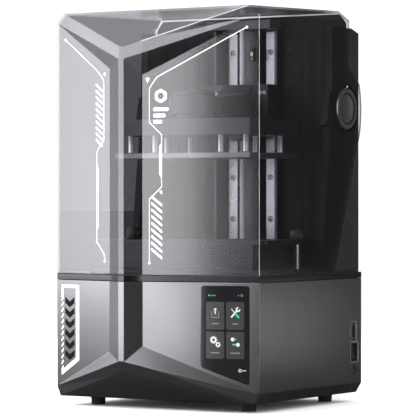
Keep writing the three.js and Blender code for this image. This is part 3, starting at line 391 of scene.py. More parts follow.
def washer(inner, outer, low, high, centre, axis="z", sides=64, chamfer=0.0):
    """A ring with a hole, its outer rims chamfered."""
    profile = [(inner, low), (outer - chamfer, low), (outer, low + chamfer), (outer, high - chamfer),
               (outer - chamfer, high), (inner, high)]
    rings = [ring(radius, height, sides) for radius, height in profile]
    return moved(loft(rings, endless=True), axis_matrix(axis, centre))


def fluted(profile, centre, sides, flutes):
    """An upright lathe solid with scallops: the profile is [radius, height, depth of the scallops]."""
    angles = [math.tau * i / sides for i in range(sides)]
    waves = [max(0.0, math.cos(angle * flutes)) ** 2 for angle in angles]
    return loft([[(*polar(radius - depth * wave, angle, *centre[:2]), height)
                  for angle, wave in zip(angles, waves)] for radius, height, depth in profile])


def rounded_box(low, high, radius=0.5, steps=2):
    bm = bmesh.new()
    bmesh.ops.create_cube(bm, size=1.0)
    size = [b - a for a, b in zip(low, high)]
    middle = [(a + b) / 2 for a, b in zip(low, high)]
    for vert in bm.verts:
        vert.co = Vector([c * s + m for c, s, m in zip(vert.co, size, middle)])
    radius = min(radius, min(size) * 0.45)
    bmesh.ops.bevel(bm, geom=bm.edges[:], offset=radius, segments=steps, profile=0.5, affect="EDGES")
    return from_bmesh(bm)


def prism(outline, low, high, place=Matrix.Identity(4), bevel=0.0):
    """A flat outline in (x, y), raised from low to high and placed by a matrix; its top rim is chamfered."""
    solid = loft([[(x, y, height) for x, y in outline] for height in (low, high)])
    if bevel:
        bm = to_bmesh(solid)
        rim = [e for e in bm.edges if all(abs(v.co.z - high) < 1e-6 for v in e.verts)]
        bmesh.ops.bevel(bm, geom=rim, offset=bevel, segments=2, profile=0.5, affect="EDGES")
        solid = from_bmesh(bm)
    return moved(solid, place)


def carved(solid, *tools):
    """A solid with other solids cut out of it."""
    objects = []
    for part in (solid, joined(*tools)):
        mesh = bpy.data.meshes.new("carving")
        mesh.from_pydata([tuple(point) for point in part[0]], [], part[1])
        face_outwards(mesh)
        objects.append(in_scene("carving", mesh))
    body, tool = objects
    modifier = body.modifiers.new("carve", "BOOLEAN")
    modifier.operation = "DIFFERENCE"
    modifier.solver = "EXACT"
    modifier.use_self = True
    modifier.object = tool
    bpy.context.view_layer.update()
    mesh = bpy.data.meshes.new_from_object(body.evaluated_get(bpy.context.evaluated_depsgraph_get()))
    result = ([v.co.copy() for v in mesh.vertices], [list(p.vertices) for p in mesh.polygons])
    for made in objects:
        old = made.data
        bpy.data.objects.remove(made)
        bpy.data.meshes.remove(old)
    bpy.data.meshes.remove(mesh)
    return result


def rounded_outline(x0, y0, x1, y1, radius, count=5):
    corners = [(x1 - radius, y1 - radius, 0), (x0 + radius, y1 - radius, 90),
               (x0 + radius, y0 + radius, 180), (x1 - radius, y0 + radius, 270)]
    turns = [90 * i / (count - 1) for i in range(count)]
    return [polar(radius, math.radians(start + turn), x, y) for x, y, start in corners for turn in turns]


def bar(start, end, width, round_ends=False):
    """The outline of a straight stroke between two points."""
    a, b = Vector(start), Vector(end)
    along = (b - a).normalized()
    side = Vector((-along.y, along.x)) * width / 2
    if not round_ends:
        return [tuple(a - side), tuple(b - side), tuple(b + side), tuple(a + side)]
    first = math.atan2(-side.y, -side.x)
    return [polar(width / 2, begin + math.pi * i / 6, *centre)
            for centre, begin in ((b, first), (a, first + math.pi)) for i in range(7)]


def ring_outlines(x, y, inner, outer, count=24, begin=0.0, sweep=math.tau):
    """Quadrilaterals that make up a flat ring or an arc of one."""
    pieces = []
    for i in range(count):
        a, b = (begin + sweep * k / count for k in (i, i + 1))
        pieces.append([polar(r, t, x, y) for r, t in ((inner, a), (outer, a), (outer, b), (inner, b))])
    return pieces


def hexagon_ring(radius, height, sides):
    """A hexagon with as many corners as the circle that it meets."""
    corners = []
    for i in range(sides):
        angle = math.tau * i / sides
        edge = math.cos(math.pi / 6) / math.cos((angle % (math.pi / 3)) - math.pi / 6)
        corners.append((*polar(radius * edge, angle), height))
    return corners


def socket_screw(centre, axis, radius, height, sides=28):
    """A cap screw's head, with a chamfered rim and a hexagon socket; the axis points out of it."""
    rings = [ring(radius, 0, sides), ring(radius, height * 0.86, sides), ring(radius * 0.9, height, sides),
             hexagon_ring(radius * 0.55, height, sides), hexagon_ring(radius * 0.5, height * 0.45, sides)]
    return moved(loft(rings), axis_matrix(axis, centre))


def softened(node, width, angle=SHARP, shortest=1.5, segments=2):
    """A CAD node's own shape, in millimetres, with its long sharp edges rounded off."""
    bm = bmesh.new()
    bm.from_mesh(frame["nodes"][node].data)
    for vert in bm.verts:
        vert.co /= MM
    bmesh.ops.remove_doubles(bm, verts=bm.verts[:], dist=0.002)
    bmesh.ops.dissolve_limit(bm, angle_limit=math.radians(0.6), verts=bm.verts[:], edges=bm.edges[:])
    limit = math.radians(angle)
    sharp = [e for e in bm.edges
             if len(e.link_faces) == 2 and e.calc_face_angle(0.0) > limit and e.calc_length() > shortest]
    for face in bm.faces:
        face.material_index = 0
    if width and sharp:
        bmesh.ops.bevel(bm, geom=sharp, offset=width, segments=segments, profile=0.5, affect="EDGES",
                        clamp_overlap=False)
    bm.normal_update()
    bm.verts.index_update()
    return bm


class Piece:
    """A visual piece, gathered from solids with their materials."""

    def __init__(self, name):
        self.name = name
        self.points, self.faces, self.marks, self.materials = [], [], [], []

    def add(self, solid, material):
        if material not in self.materials:
            self.materials.append(material)
        start = len(self.points)
        self.points += [tuple(Vector(point) * MM) for point in solid[0]]
        self.faces += [[i + start for i in face] for face in solid[1]]
        self.marks += [self.materials.index(material)] * len(solid[1])
        return self

    def done(self, body, slot, *stands_for, smooth=32.0, outwards=True):
        mesh = bpy.data.meshes.new(self.name)
        mesh.from_pydata(self.points, [], self.faces)
        for material in self.materials:
            mesh.materials.append(material)
        mesh.polygons.foreach_set("material_index", self.marks)
        if outwards:
            face_outwards(mesh)
        mesh.polygons.foreach_set("use_smooth", [True] * len(mesh.polygons))
        mesh.set_sharp_from_angle(angle=math.radians(smooth))
        made = in_scene(self.name, mesh)
        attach(made, body)
        if stands_for:
            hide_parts(*stands_for)
        return made


def weighted(made):
    modifier = made.modifiers.new("shading", "WEIGHTED_NORMAL")
    modifier.keep_sharp = True
    modifier.weight = 90


BODY_OF = {node: body for body, nodes in frame["record"]["behaviour"]["bodies"].items() for node in nodes}


def refined(node, material, slot, width=0.5, shortest=1.5, carve=(), extras=(), angle=SHARP, segments=2):
    """A finer stand-in for a CAD node, from the node's own shape."""
    solid = from_bmesh(softened(node, width, angle, shortest, segments))
    if carve:
        solid = carved(solid, *carve)
    piece = Piece(f"{node}_shape").add(solid, material)
    for extra, extra_material in extras:
        piece.add(extra, extra_material)
    weighted(piece.done(BODY_OF[node], slot, node))


# ---- Places ----
shell_low, shell_high = box("base_shell")
HALF = shell_high.x
FRONT = shell_low.y
SHOULDER = FRONT + 44.4
FOLD = FRONT + 12.2
FOLD_LEFT, FOLD_RIGHT = -53.7, -0.8
SPINE_LEFT, SPINE_RIGHT = -31.5, -23.0


def panel(start, end):
    """Places (distance along, height, outwards) on a vertical panel between two plan points."""
    along = (Vector(end) - Vector(start)).normalized()
    return Matrix(((along.x, 0, along.y, start[0]), (along.y, 0, -along.x, start[1]),
                   (0, 1, 0, 0), (0, 0, 0, 1)))


RIGHT_PANEL = panel((FOLD_RIGHT, FOLD), (HALF, SHOULDER))
LEFT_PANEL = panel((-HALF, SHOULDER), (FOLD_LEFT, FOLD))
SIDE_WALL = panel((HALF, 0.0), (HALF, 1.0))


def printed(piece, outlines, place, material=PRINT, low=0.01, high=0.07):
    for outline in outlines:
        piece.add(prism(outline, low, high, place), material)


def path(points, width):
    """Strokes through points, with round joints."""
    strokes = [bar(a, b, width) for a, b in zip(points, points[1:])]
    return strokes + [circle(x, y, width / 2, 12) for x, y in points[1:-1]]


def hatch(x0, x1, top, bottom, count, stroke, fall):
    """A column of slanted strokes, from top to bottom, each falling by the given height."""
    pitch = (top - bottom - fall) / (count - 1)
    outlines = []
    for i in range(count):
        z = top - i * pitch
        outlines.append([(x0, z - stroke), (x1, z - fall - stroke), (x1, z - fall), (x0, z)])
    return outlines


# ---- Base: shell, deck, feet and underside ----
def port_frame(node, margin, width, low, high):
    """A thin rectangular ring around a port, in the right wall's plane."""
    inner, outer = box(node)
    a, b = (inner.y - margin, inner.z - margin), (outer.y + margin, outer.z + margin)
    hole = prism(rounded_outline(*a, *b, 1.6), low - 1, high + 1, SIDE_WALL)
    edge = rounded_outline(a[0] - width, a[1] - width, b[0] + width, b[1] + width, 2.2)
    return carved(prism(edge, low, high, SIDE_WALL), hole)


framed_ports = ("usb_socket", "switch_bezel")
mark_y = box("usb_socket")[0].y - 6.5
mark_z = axis_of("usb_socket", "x")[2]
port_mark = bar((mark_y, mark_z - 5.5), (mark_y, mark_z + 4.5), 0.8)
wells = [port_frame(node, 0.9, 0.9, -0.3, 1.0) for node in framed_ports]
wells.append(prism(port_mark, -0.25, 1.0, SIDE_WALL))
inlays = [port_frame(node, 0.95, 0.8, -0.4, -0.02) for node in framed_ports]
inlays.append(prism(port_mark, -0.4, -0.02, SIDE_WALL))
shell_extras = [(inlay, FAINT_PRINT) for inlay in inlays]
refined("base_shell", SHELL, "shell", 1.0, 4.0, wells, shell_extras, angle=6, segments=3)
refined("top_deck", RIM, "deck", 0.5, 3.0, angle=20)
deck_top = box("top_deck")[1].z
plan = [(-HALF, SHOULDER), (FOLD_LEFT, FOLD), (SPINE_LEFT, FRONT), (SPINE_RIGHT, FRONT), (FOLD_RIGHT, FOLD),
        (HALF, SHOULDER), (HALF, shell_high.y), (-HALF, shell_high.y)]
seal_outside = [(x * 0.997, y * 0.997) for x, y in plan]
seal_inside = [(x * 0.982, y * 0.982) for x, y in plan]
seal_ring = carved(prism(seal_outside, deck_top - 0.3, deck_top + 0.75),
                   prism(seal_inside, deck_top - 2, deck_top + 2))
Piece("lid_seal").add(seal_ring, RUBBER).done("base", "rubber")

label = Piece("label_left")
printed(label, [
    [(10.6, 163.6), (48.4, 163.6), (48.4, 167.6), (10.6, 167.6)],
    [(42.0, 67.2), (48.4, 64.2), (48.4, 163.6), (42.0, 163.6)],
    [(10.6, 42.4), (48.4, 64.2), (42.0, 67.2), (10.6, 48.6)],
    [(10.6, 150.0), (13.6, 152.0), (13.6, 163.6), (10.6, 163.6)],
], LEFT_PANEL)
printed(label, hatch(10.6, 14.4, 148.0, 56.0, 13, 3.0, -4.4), LEFT_PANEL)
printed(label, [[(44.2, z), (45.6, z), (45.6, z + length), (44.2, z + length)]
                for z, length in ((74, 12), (89, 5), (97, 18), (118, 7), (128, 21), (152, 4))],
        LEFT_PANEL, INK_AND_SHADE, 0.07, 0.1)
for i in range(6):
    z = 151.0 - i * 14.6
    printed(label, [
        [(18.0, z), (28.2, z - 6.4), (28.2, z - 14.6), (18.0, z - 8.2)],
        [(28.2, z - 14.6), (28.2, z - 6.4), (38.4, z), (38.4, z - 8.2)],
    ], LEFT_PANEL, INK_AND_SHADE)
label.done("base", "shell")

for corner in ("front_left", "front_right", "rear_left", "rear_right"):
    node = f"foot_{corner}"
    top = box(node)[1].z
    profile = [(5.0, 0.9), (6.0, 0.5), (6.4, 0.0), (9.0, 0.0), (9.4, 0.4), (9.7, 3.0), (9.9, 3.4),
               (9.9, 4.0), (9.75, 4.4), (10.3, 9.2), (10.8, 9.6), (10.9, top - 0.5), (10.5, top)]
    foot = Piece(f"{node}_shape").add(turned(profile, axis_of(node), "z", 72), RUBBER)
    foot.done("base", "rubber", node)

low, high = box("bottom_plate")
air_slots = []
for x in range(-66, 67, 22):
    for row in range(7):
        y = low.y + 42 + row * 10.0
        air_slots.append(prism(bar((x - 8, y), (x + 8, y), 3.2, True), low.z - 1, high.z + 1))
plate_screws = [(x, y) for x in (low.x + 8, high.x - 8) for y in (low.y + 9, 24.0, high.y - 9)]
countersink = [(3.4, -0.1), (1.6, 1.2), (1.6, 3.0)]
countersinks = [turned(countersink, (x, y, low.z), "z", 24) for x, y in plate_screws]
underside = Piece("bottom_plate_shape")
plate = from_bmesh(softened("bottom_plate", 0.3, SHARP, 1.0))
underside.add(carved(plate, *air_slots, *countersinks), ANODISED)
for x, y in plate_screws:
    underside.add(socket_screw((x, y, low.z + 1.3), "-z", 2.6, 1.1), DARK_SCREW)
underside.done("base", "anodised", "bottom_plate")

# ---- Touch screen ----
refined("touch_screen", GLASS, "screen_glass", 0.35, 0.4)
refined("display_module", BLACK, "black", 0.6)

screen = Piece("screen_picture")


def shown(outlines, material, layer=0):
    printed(screen, outlines, RIGHT_PANEL, material, -0.1 + layer * 0.02, -0.075 + layer * 0.02)


for x0 in (92.0, 120.4):
    for z0, z1 in ((111.8, 148.8), (73.0, 109.2)):
        shown([rounded_outline(x0, z0, x0 + 25.6, z1, 2.4)], SCREEN_TILE)
shown([circle(96.3, 157.3, 1.3, 20)], SCREEN_GREEN)
shown([bar((99.6, 157.3), (105.0, 157.3), 1.3, True)], SCREEN_GREY)
shown([circle(137.8, 157.5, 0.9, 16)] + ring_outlines(142.6, 157.6, 0.9, 1.7, 18), SCREEN_GREY)
for x, z, width in ((104.9, 119.6, 8.4), (133.2, 119.6, 6.8), (104.9, 80.8, 11.0), (133.2, 80.8, 12.6)):
    shown([bar((x - width / 2, z), (x + width / 2, z), 1.5, True)], SCREEN_GREY, 1)
shown([bar((99.6, 128.0), (110.2, 128.0), 1.0), bar((99.9, 128.0), (99.9, 136.0), 0.8),
       bar((109.9, 128.0), (109.9, 136.0), 0.8), bar((101.6, 136.4), (108.2, 136.4), 0.9),
       bar((102.4, 132.2), (107.4, 132.2), 0.8)], SCREEN_GREY, 1)
shown([bar((104.9, 133.0), (104.9, 138.8), 1.6), bar((103.0, 139.2), (106.8, 139.2), 1.4)], SCREEN_WHITE, 1)
shown([bar((128.2, 129.0), (136.0, 137.6), 2.2, True)]
      + ring_outlines(137.2, 138.8, 1.5, 3.3, 16, math.radians(80), math.radians(290)), SCREEN_WHITE, 1)
shown([bar((128.0, 139.4), (132.6, 134.4), 1.0, True)], SCREEN_WHITE, 1)
shown([bar((133.6, 133.2), (138.0, 128.6), 2.8, True)], SCREEN_GREEN, 2)
for x, z, radius, teeth in ((102.6, 98.0, 4.6, 9), (108.9, 91.8, 3.4, 8)):
    shown(ring_outlines(x, z, radius * 0.42, radius * 0.86, 28), SCREEN_WHITE, 1)
    turns = [math.tau * i / teeth for i in range(teeth)]
    shown([bar(polar(radius * 0.8, turn, x, z), polar(radius * 1.12, turn, x, z), radius * 0.34)
           for turn in turns], SCREEN_WHITE, 1)
shown([bar((128.6, 99.0), (134.6, 99.0), 2.0, True)], SCREEN_GREY, 1)
shown([circle(129.6, 99.0, 2.6, 24)], SCREEN_WHITE, 2)
shown([bar((130.0, 92.0), (137.6, 92.0), 2.0, True)], SCREEN_GREEN, 1)
shown([circle(137.2, 92.0, 2.6, 24)], SCREEN_WHITE, 2)
shown(ring_outlines(140.2, 57.6, 1.4, 2.3, 20), SCREEN_WHITE)
shown([bar((144.0, 57.6), (148.4, 57.6), 1.0, True)], SCREEN_WHITE)
screen.done("base", "screen_glass")

# ---- Ports on the right wall ----
refined("usb_socket", BLACK, "black", 0.25, 0.8)
refined("switch_bezel", GLOSS_BLACK, "black", 0.4, 0.8)
rocker = Piece("power_rocker_shape")
rocker.add(from_bmesh(softened("power_rocker", 0.5, 12, 0.8)), BLACK)
rocker.done("rocker", "black", "power_rocker")

low, high = box("power_inlet")
centre = axis_of("power_inlet", "x")
inlet = Piece("power_inlet_shape")
inlet.add(washer(4.2, 7.0, low.x, high.x, centre, "x", 64, 0.4), BLACK)
inlet.add(turned([(6.9, low.x), (6.9, low.x + 3.5)], centre, "x", 48), BLACK)
inlet.add(washer(3.7, 4.25, low.x + 3, high.x - 2.0, centre, "x", 48), SCREW_STEEL)
contact = [(1.2, low.x + 3), (1.2, high.x - 4.4), (0.9, high.x - 3.8), (0.3, high.x - 3.5)]
inlet.add(turned(contact, centre, "x", 24), STEEL)
inlet.done("base", "black", "power_inlet")

low, high = box("usb_socket")
contacts = Piece("usb_contacts")
for i in range(5):
    z = low.z + 8.0 + i * 2.3
    contact = rounded_box((high.x - 14, low.y + 9.25, z), (high.x - 4, low.y + 9.4, z + 1.1), 0.05, 1)
    contacts.add(contact, COPPER)
contacts.done("base", "brass")

# ---- Works inside the base ----
refined("masking_screen", GLASS, "screen_glass", 0.3, 2.0)
refined("lamp_heatsink", ALUMINIUM, "aluminium", 0.3, 2.0)
low, high = box("lamp_array")
emitters = []
for column in range(9):
    for row in range(6):
        x, y = low.x + 6 + column * 8.5, low.y + 6 + row * 8.8
        emitter = rounded_box((x - 1.7, y - 1.7, high.z - 0.2), (x + 1.7, y + 1.7, high.z + 0.5), 0.3)
        emitters.append((emitter, FILM))
refined("lamp_array", EMITTER, "film", 0.2, 2.0, extras=emitters)
refined("light_hood", BLACK, "black", 0.4, 3.0)
refined("fan_frame", BLACK, "black", 0.4, 3.0)
refined("tilt_motor", BLACK, "black", 0.5, 3.0)
refined("tilt_cam", STEEL_TURNED, "steel", 0.4, 0.5)

low, high = box("fan_rotor")
hub = Vector(axis_of("fan_rotor", "y"))
hub_profile = [(10.8, low.y), (12, low.y + 1), (12, high.y - 1), (11, high.y)]
blade_section = ((-1, 0), (-0.5, 0.5), (0, 0.72), (0.5, 0.5), (1, 0), (0.5, -0.2), (0, -0.1), (-0.5, -0.2))
rotor = Piece("fan_rotor_shape")
rotor.add(turned(hub_profile, hub, "y", 64), BLACK)
rotor.add(turned([(6.0, low.y + 0.05), (5.4, low.y + 0.05)], hub, "y", 40), FAINT_PRINT)
for blade in range(7):
    sections = []
    for step in range(7):
        radius = 11.0 + step * 3.9
        sweep = blade * math.tau / 7 + (step / 6) ** 1.5 * 0.35
        twist = 0.75 - step * 0.055
        chord = 6.6 + step * 0.3
        section = []
        for along, across in blade_section:
            tangent = chord * along * math.cos(twist) - across * math.sin(twist)
            height = chord * along * math.sin(twist) + across * math.cos(twist)
            x, z = polar(radius, sweep + tangent / radius, hub.x, hub.z)
            section.append((x, (low.y + high.y) / 2 + height * 0.9, z))
        sections.append(section)
    rotor.add(loft(sections), BLACK)
rotor.done("fan", "black", "fan_rotor")

low = box("control_board")[0]
board_top = 35.6
parts = []
for x, y, width, depth, height, material in (
        (14, 44, 16, 12, 3.0, BLACK), (70, 14, 9, 9, 2.0, BLACK), (84, 34, 18, 12, 8.0, BLACK),
        (66, 40, 7, 7, 1.6, BLACK), (12, 26, 12, 8, 6.0, FILM), (90, 52, 12, 8, 6.0, FILM)):
    start = (low.x + x, low.y + y, board_top)
    end = (low.x + x + width, low.y + y + depth, board_top + height)
    parts.append((rounded_box(start, end, 0.4), material))
can = [(2.4, board_top), (2.5, board_top + 0.6), (2.5, board_top + 6.0), (2.2, board_top + 6.4)]
parts += [(turned(can, (low.x + 34 + i * 7, low.y + 56, 0), "z", 24), ALUMINIUM) for i in range(8)]
refined("control_board", BOARD, "board", 0.2, 1.5, extras=parts)

# ---- Vat and its holder ----
refined("vat_holder", ANODISED, "aluminium", 0.5, 1.5)
refined("resin_vat", ANODISED, "anodised", 0.6, 2.0)
refined("release_film", FILM, "film", 0.1, 2.0)
low, high = box("film_frame")
frame_screws = []
for i in range(9):
    x = low.x + 14 + i * (high.x - low.x - 28) / 8
    for y in (low.y + 3.0, high.y - 3.0):
        frame_screws.append((socket_screw((x, y, low.z + 0.35), "-z", 1.9, 0.6), SCREW_STEEL))
refined("film_frame", ALUMINIUM, "aluminium", 0.3, 2.0, extras=frame_screws)

low = box("resin_vat")[0]
marks = Piece("vat_marks")
marks_x = -60
for i in range(6):
    z = low.z + 12 + i * 5
    half = 8 if i == 5 else 4
    mark = rounded_box((marks_x - half, low.y + 8.3, z), (marks_x + half, low.y + 8.36, z + 0.7), 0.02, 1)
    marks.add(mark, PRINT)
marks.done("vat_tray", "anodised")

low, high = box("tilt_pin")
groove = [(2.5, 3), (2.1, 3.2), (2.1, 4.2), (2.5, 4.4)]
profile = [(1.9, low.y), (2.5, low.y + 0.6)] + [(radius, low.y + y) for radius, y in groove]
profile += [(radius, high.y - y) for radius, y in reversed(groove)] + [(2.5, high.y - 0.6), (1.9, high.y)]
pin = Piece("tilt_pin_shape").add(turned(profile, axis_of("tilt_pin", "y"), "y", 40), STEEL_TURNED)
pin.done("base", "steel", "tilt_pin")

for side in ("left", "right"):
    node = f"vat_knob_{side}"
    low, high = box(node)
    top = high.z
    grip = [(9.3, top - 15.7, 0), (10.1, top - 15.3, 0.165), (10.4, top - 14.4, 0.55),
            (10.4, top - 4.4, 0.55), (9.9, top - 2.6, 0.33), (8.6, top - 1.0, 0), (6.6, top - 0.2, 0),
            (6.0, top, 0), (5.2, top, 0), (4.8, top - 0.5, 0), (0.4, top - 0.5, 0)]
    stem = [(3.2, low.z), (4, low.z + 0.8), (4, top - 15.6)]
    knob = Piece(f"{node}_shape").add(fluted(grip, axis_of(node), 96, 16), GLOSS_BLACK)
    knob.add(turned(stem, axis_of(node), "z", 40), STEEL_TURNED)
    knob.done(f"knob_{side}", "black", node)

# ---- Column, rails, carriages and screw ----
refined("z_column", COLUMN, "anodised", 0.5, 3.0)

low, high = box("top_bearing_block")
bearing_place = ((low.x + high.x) / 2, low.y + 12, 0)
cap_screws = [socket_screw((x, y, high.z - 0.6), "z", 2.8, 0.55)
              for x in (low.x + 8, high.x - 8) for y in (low.y + 30, high.y - 10)]
cap_screws += [socket_screw((x, low.y + 0.5, high.z - 6.2), "-y", 2.5, 0.45) for x in (-42, -24, 24, 42)]
cap_extras = [(screw, SCREW_STEEL) for screw in cap_screws]
cap_extras.append((washer(5.2, 10.5, high.z - 0.3, high.z, bearing_place, "z", 56, 0.1), STEEL_TURNED))
refined("top_bearing_block", HEADER, "anodised", 0.8, 2.0, extras=cap_extras)

low, high = box("z_column")
sensor = Piece("top_limit_sensor")
sensor.add(rounded_box((8.5, low.y - 0.6, high.z - 44), (14.5, low.y + 6, high.z - 24), 0.4), BLACK)
sensor.add(rounded_box((9.4, low.y - 0.85, high.z - 37), (13.4, low.y - 0.4, high.z - 31), 0.1), PRINT)
sensor.add(rounded_box((11.0, low.y - 0.85, high.z - 42), (12.6, low.y - 0.4, high.z - 39.5), 0.1), COPPER)
sensor.done("base", "black")

RAIL_PITCH = 60.0
for side in ("left", "right"):
    node = f"z_rail_{side}"
    low, high = box(node)
    x = (low.x + high.x) / 2
    holes = [low.z + 14.8 + i * RAIL_PITCH for i in range(6)]
    sinks = [turned([(4.35, -0.4), (4.0, 0.35), (4.0, 4.4)], (x, low.y, z), "y", 32) for z in holes]
    rail = Piece(f"{node}_shape").add(carved(from_bmesh(softened(node, 0.4, SHARP, 3.0)), *sinks), STEEL)
    for z in holes:
        rail.add(turned([(4.3, 0), (4.3, 2.6)], (x, low.y + 4.1, z), "-y", 32), DARK_SCREW)
        rail.add(socket_screw((x, low.y + 1.6, z), "-y", 2.9, 1.2), SCREW_STEEL)
        # A black disc on the floor of each screw's hex socket: painted shade in the socket.
        rail.add(turned([(1.4, 0), (1.4, 0.1)], (x, low.y + 1.0, z), "-y", 24), INK_AND_SHADE)
    weighted(rail.done("base", "steel", node))

    node = f"carriage_{side}"
    low, high = box(node)
    x = (low.x + high.x) / 2
    truck = Piece(f"{node}_shape")
    truck.add(from_bmesh(softened(node, 0.5, SHARP, 2.0)), STEEL)
    for z0, z1 in ((low.z, low.z + 4.6), (high.z - 4.6, high.z)):
        for x0, x1 in ((low.x - 0.02, x - 8.6), (x + 8.6, high.x + 0.02)):
            truck.add(rounded_box((x0, low.y - 0.04, z0), (x1, high.y - 0.5, z1), 0.4), BLACK)
    for dx in (-11.5, 11.5):
        for z in (low.z + 10, high.z - 10):
            truck.add(socket_screw((x + dx, low.y + 0.12, z), "-y", 1.7, 0.3), DARK_SCREW)
    truck.done("z_carriage", "steel", node)

THREAD_PITCH = 2.0
THREAD_STARTS = 4
THREAD_SIDES = 24
THREAD_STEPS = 6
low, high = box("ball_screw")
axis = axis_of("ball_screw")
rings = [ring(3.2, z, THREAD_SIDES, axis[:2]) for z in (low.z, low.z + 9.6)]
z = low.z + 10.0
while z < high.z - 13.0:
    level = []
    for i in range(THREAD_SIDES):
        turn = i / THREAD_SIDES
        phase = (z / THREAD_PITCH - THREAD_STARTS * turn) % 1.0
        groove = max(0.0, min(1.0, 2.6 * abs(phase - 0.5) - 0.25))
        level.append((*polar(3.98 - 1.15 * groove, math.tau * turn, *axis[:2]), z))
    rings.append(level)
    z += THREAD_PITCH / THREAD_STEPS
journal = ((3.4, high.z - 12.6), (3.4, high.z - 0.5), (2.9, high.z))
rings += [ring(radius, z, THREAD_SIDES, axis[:2]) for radius, z in journal]
Piece("ball_screw_shape").add(loft(rings), THREAD_STEEL).done("z_screw", "steel", "ball_screw", smooth=50)

low, high = box("screw_coupling")
coupling = Piece("screw_coupling_shape")
profile = [(8.3, low.z), (9, low.z + 0.7), (9, low.z + 7.5), (8.5, low.z + 7.8)]
for i in range(4):
    z = low.z + 8.4 + i * 2.0
    profile += [(8.4, z), (9, z + 0.1), (9, z + 1.0), (8.4, z + 1.1)]
profile += [(8.5, high.z - 7.8), (9, high.z - 7.5), (9, high.z - 0.7), (8.3, high.z)]
coupling.add(turned(profile, axis, "z", 56), ALUMINIUM)
for z in (low.z + 4, high.z - 4):
    coupling.add(socket_screw((axis[0], axis[1] - 8.7, z), "-y", 1.6, 0.28), DARK_SCREW)
coupling.done("z_screw", "aluminium", "screw_coupling")

low, high = box("screw_nut")
nut = Piece("screw_nut_shape")
nut.add(washer(4.15, 16, low.z, low.z + 7.7, axis, "z", 72, 0.5), BRASS)
nut.add(washer(4.15, 9, low.z + 7.6, high.z, axis, "z", 56, 0.6), BRASS)
for i in range(4):
    spot = polar(12.4, math.radians(45 + 90 * i), *axis[:2])
    nut.add(socket_screw((*spot, low.z + 0.35), "-z", 2.2, 0.3), SCREW_STEEL)
nut.done("z_carriage", "brass", "screw_nut")

low, high = box("z_motor")
top = high.z - 13.0
motor = Piece("z_motor_shape")
bands = ((low.z, low.z + 9, ALUMINIUM), (low.z + 9.3, top - 9.3, BLACK), (top - 9, top, ALUMINIUM))
outline = rounded_outline(low.x, low.y, high.x, high.y, 4.0)
core = rounded_outline(low.x + 0.6, low.y + 0.6, high.x - 0.6, high.y - 0.6, 4.0)
for z0, z1, material in bands:
    motor.add(prism(outline, z0, z1, bevel=0.5), material)
motor.add(prism(core, low.z + 0.5, top - 0.5), BLACK)
motor.add(turned([(11, top - 0.2), (11, top - 0.05)], axis, "z", 56), ALUMINIUM)
motor.add(turned([(2.5, top - 0.2), (2.5, high.z - 0.4), (2.1, high.z)], axis, "z", 32), STEEL_TURNED)
motor.done("base", "black", "z_motor")

# ---- Arm and plate ----
low, high = box("z_arm")
arm_screws = [socket_screw((x, 96.0, z), "-y", 2.8, 0.9)
              for x in (-44, -37, 37, 44) for z in (low.z + 12, high.z - 12)]
arm_screws += [socket_screw((x, 88.0, low.z + 10), "-y", 2.2, 0.6) for x in (-20.0, 20.0)]
arm_extras = [(screw, SCREW_STEEL) for screw in arm_screws]
refined("z_arm", HEAD, "anodised", 0.9, 2.5, extras=arm_extras, angle=20)

low, high = box("plate_drum")
middle = axis_of("plate_drum")
drum_turn = Matrix.Rotation(math.radians(47), 4, "Z") @ Matrix.Rotation(math.pi / 2, 4, "X")
drum_face = Matrix.Translation(middle) @ drum_turn
window_z = (low.z + high.z) / 2 + 2.5
window_edge = rounded_outline(-11, window_z - 6, 11, window_z + 6, 1.2)
window_hole = rounded_outline(-9.8, window_z - 4.8, 9.8, window_z + 4.8, 0.8)
window = carved(prism(window_edge, 24.0, 26.9, drum_face, 0.3), prism(window_hole, 20.0, 28.0, drum_face))
drum = Piece("plate_drum_shape")
drum.add(turned([(25.8, low.z), (27, low.z + 1), (27, high.z - 0.6), (26.4, high.z)], middle, "z", 96), HEAD)
drum.add(window, HEADER)
drum.done("z_carriage", "anodised", "plate_drum")

low, high = box("plate_lock_cap")
profile = [(28.2, low.z, 0), (29, low.z + 0.8, 0.6), (29, low.z + 5.2, 0.6), (28.0, low.z + 6.4, 0.24),
           (26.6, high.z - 0.3, 0), (26.0, high.z, 0), (9.0, high.z, 0), (8.4, high.z - 0.7, 0),
           (0.5, high.z - 0.7, 0)]
pointer = rounded_box((-1.2, -25, -0.25), (1.2, -14, 0.0), 0.1)
cap = Piece("plate_lock_cap_shape")
cap.add(fluted(profile, middle, 144, 24), BLACK)
cap.add(moved(pointer, Matrix.Translation((middle[0], middle[1], high.z))), PRINT)
cap.done("lock_cap", "black", "plate_lock_cap")

low, high = box("plate_head")
pockets = []
for x in (-74.0, 74.0):
    for y in (low.y + 33, high.y - 33):
        outline = rounded_outline(x - 22, y - 20, x + 22, y + 20, 4)
        pockets.append(prism(outline, high.z - 2.2, high.z + 1))
head_extras = [(socket_screw((x, y, high.z - 0.9), "z", 3.0, 0.85), SCREW_STEEL)
               for x in (low.x + 9, -36.0, 36.0, high.x - 9) for y in (low.y + 8, high.y - 8)]
refined("plate_head", HEAD, "anodised", 0.9, 3.0, pockets, head_extras)

refined("build_plate", LASERED, "aluminium", 0.5, 2.0)
for i in range(1, 9):
    node = f"plate_post_{i}"
    low, high = box(node)
    profile = [(4.6, low.z), (5.2, low.z + 0.5), (5.2, low.z + 1.2), (4.0, low.z + 1.8), (4.0, high.z - 1.4),
               (4.3, high.z - 1.0), (4.3, high.z)]
    post = Piece(f"{node}_shape")
    post.add(turned(profile, axis_of(node), "z", 48), POST_STEEL)
    post.add(washer(4.05, 6.3, low.z, low.z + 0.9, axis_of(node), "z", 48, 0.2), DARK_SCREW)
    post.done("z_carriage", "steel", node, smooth=40)

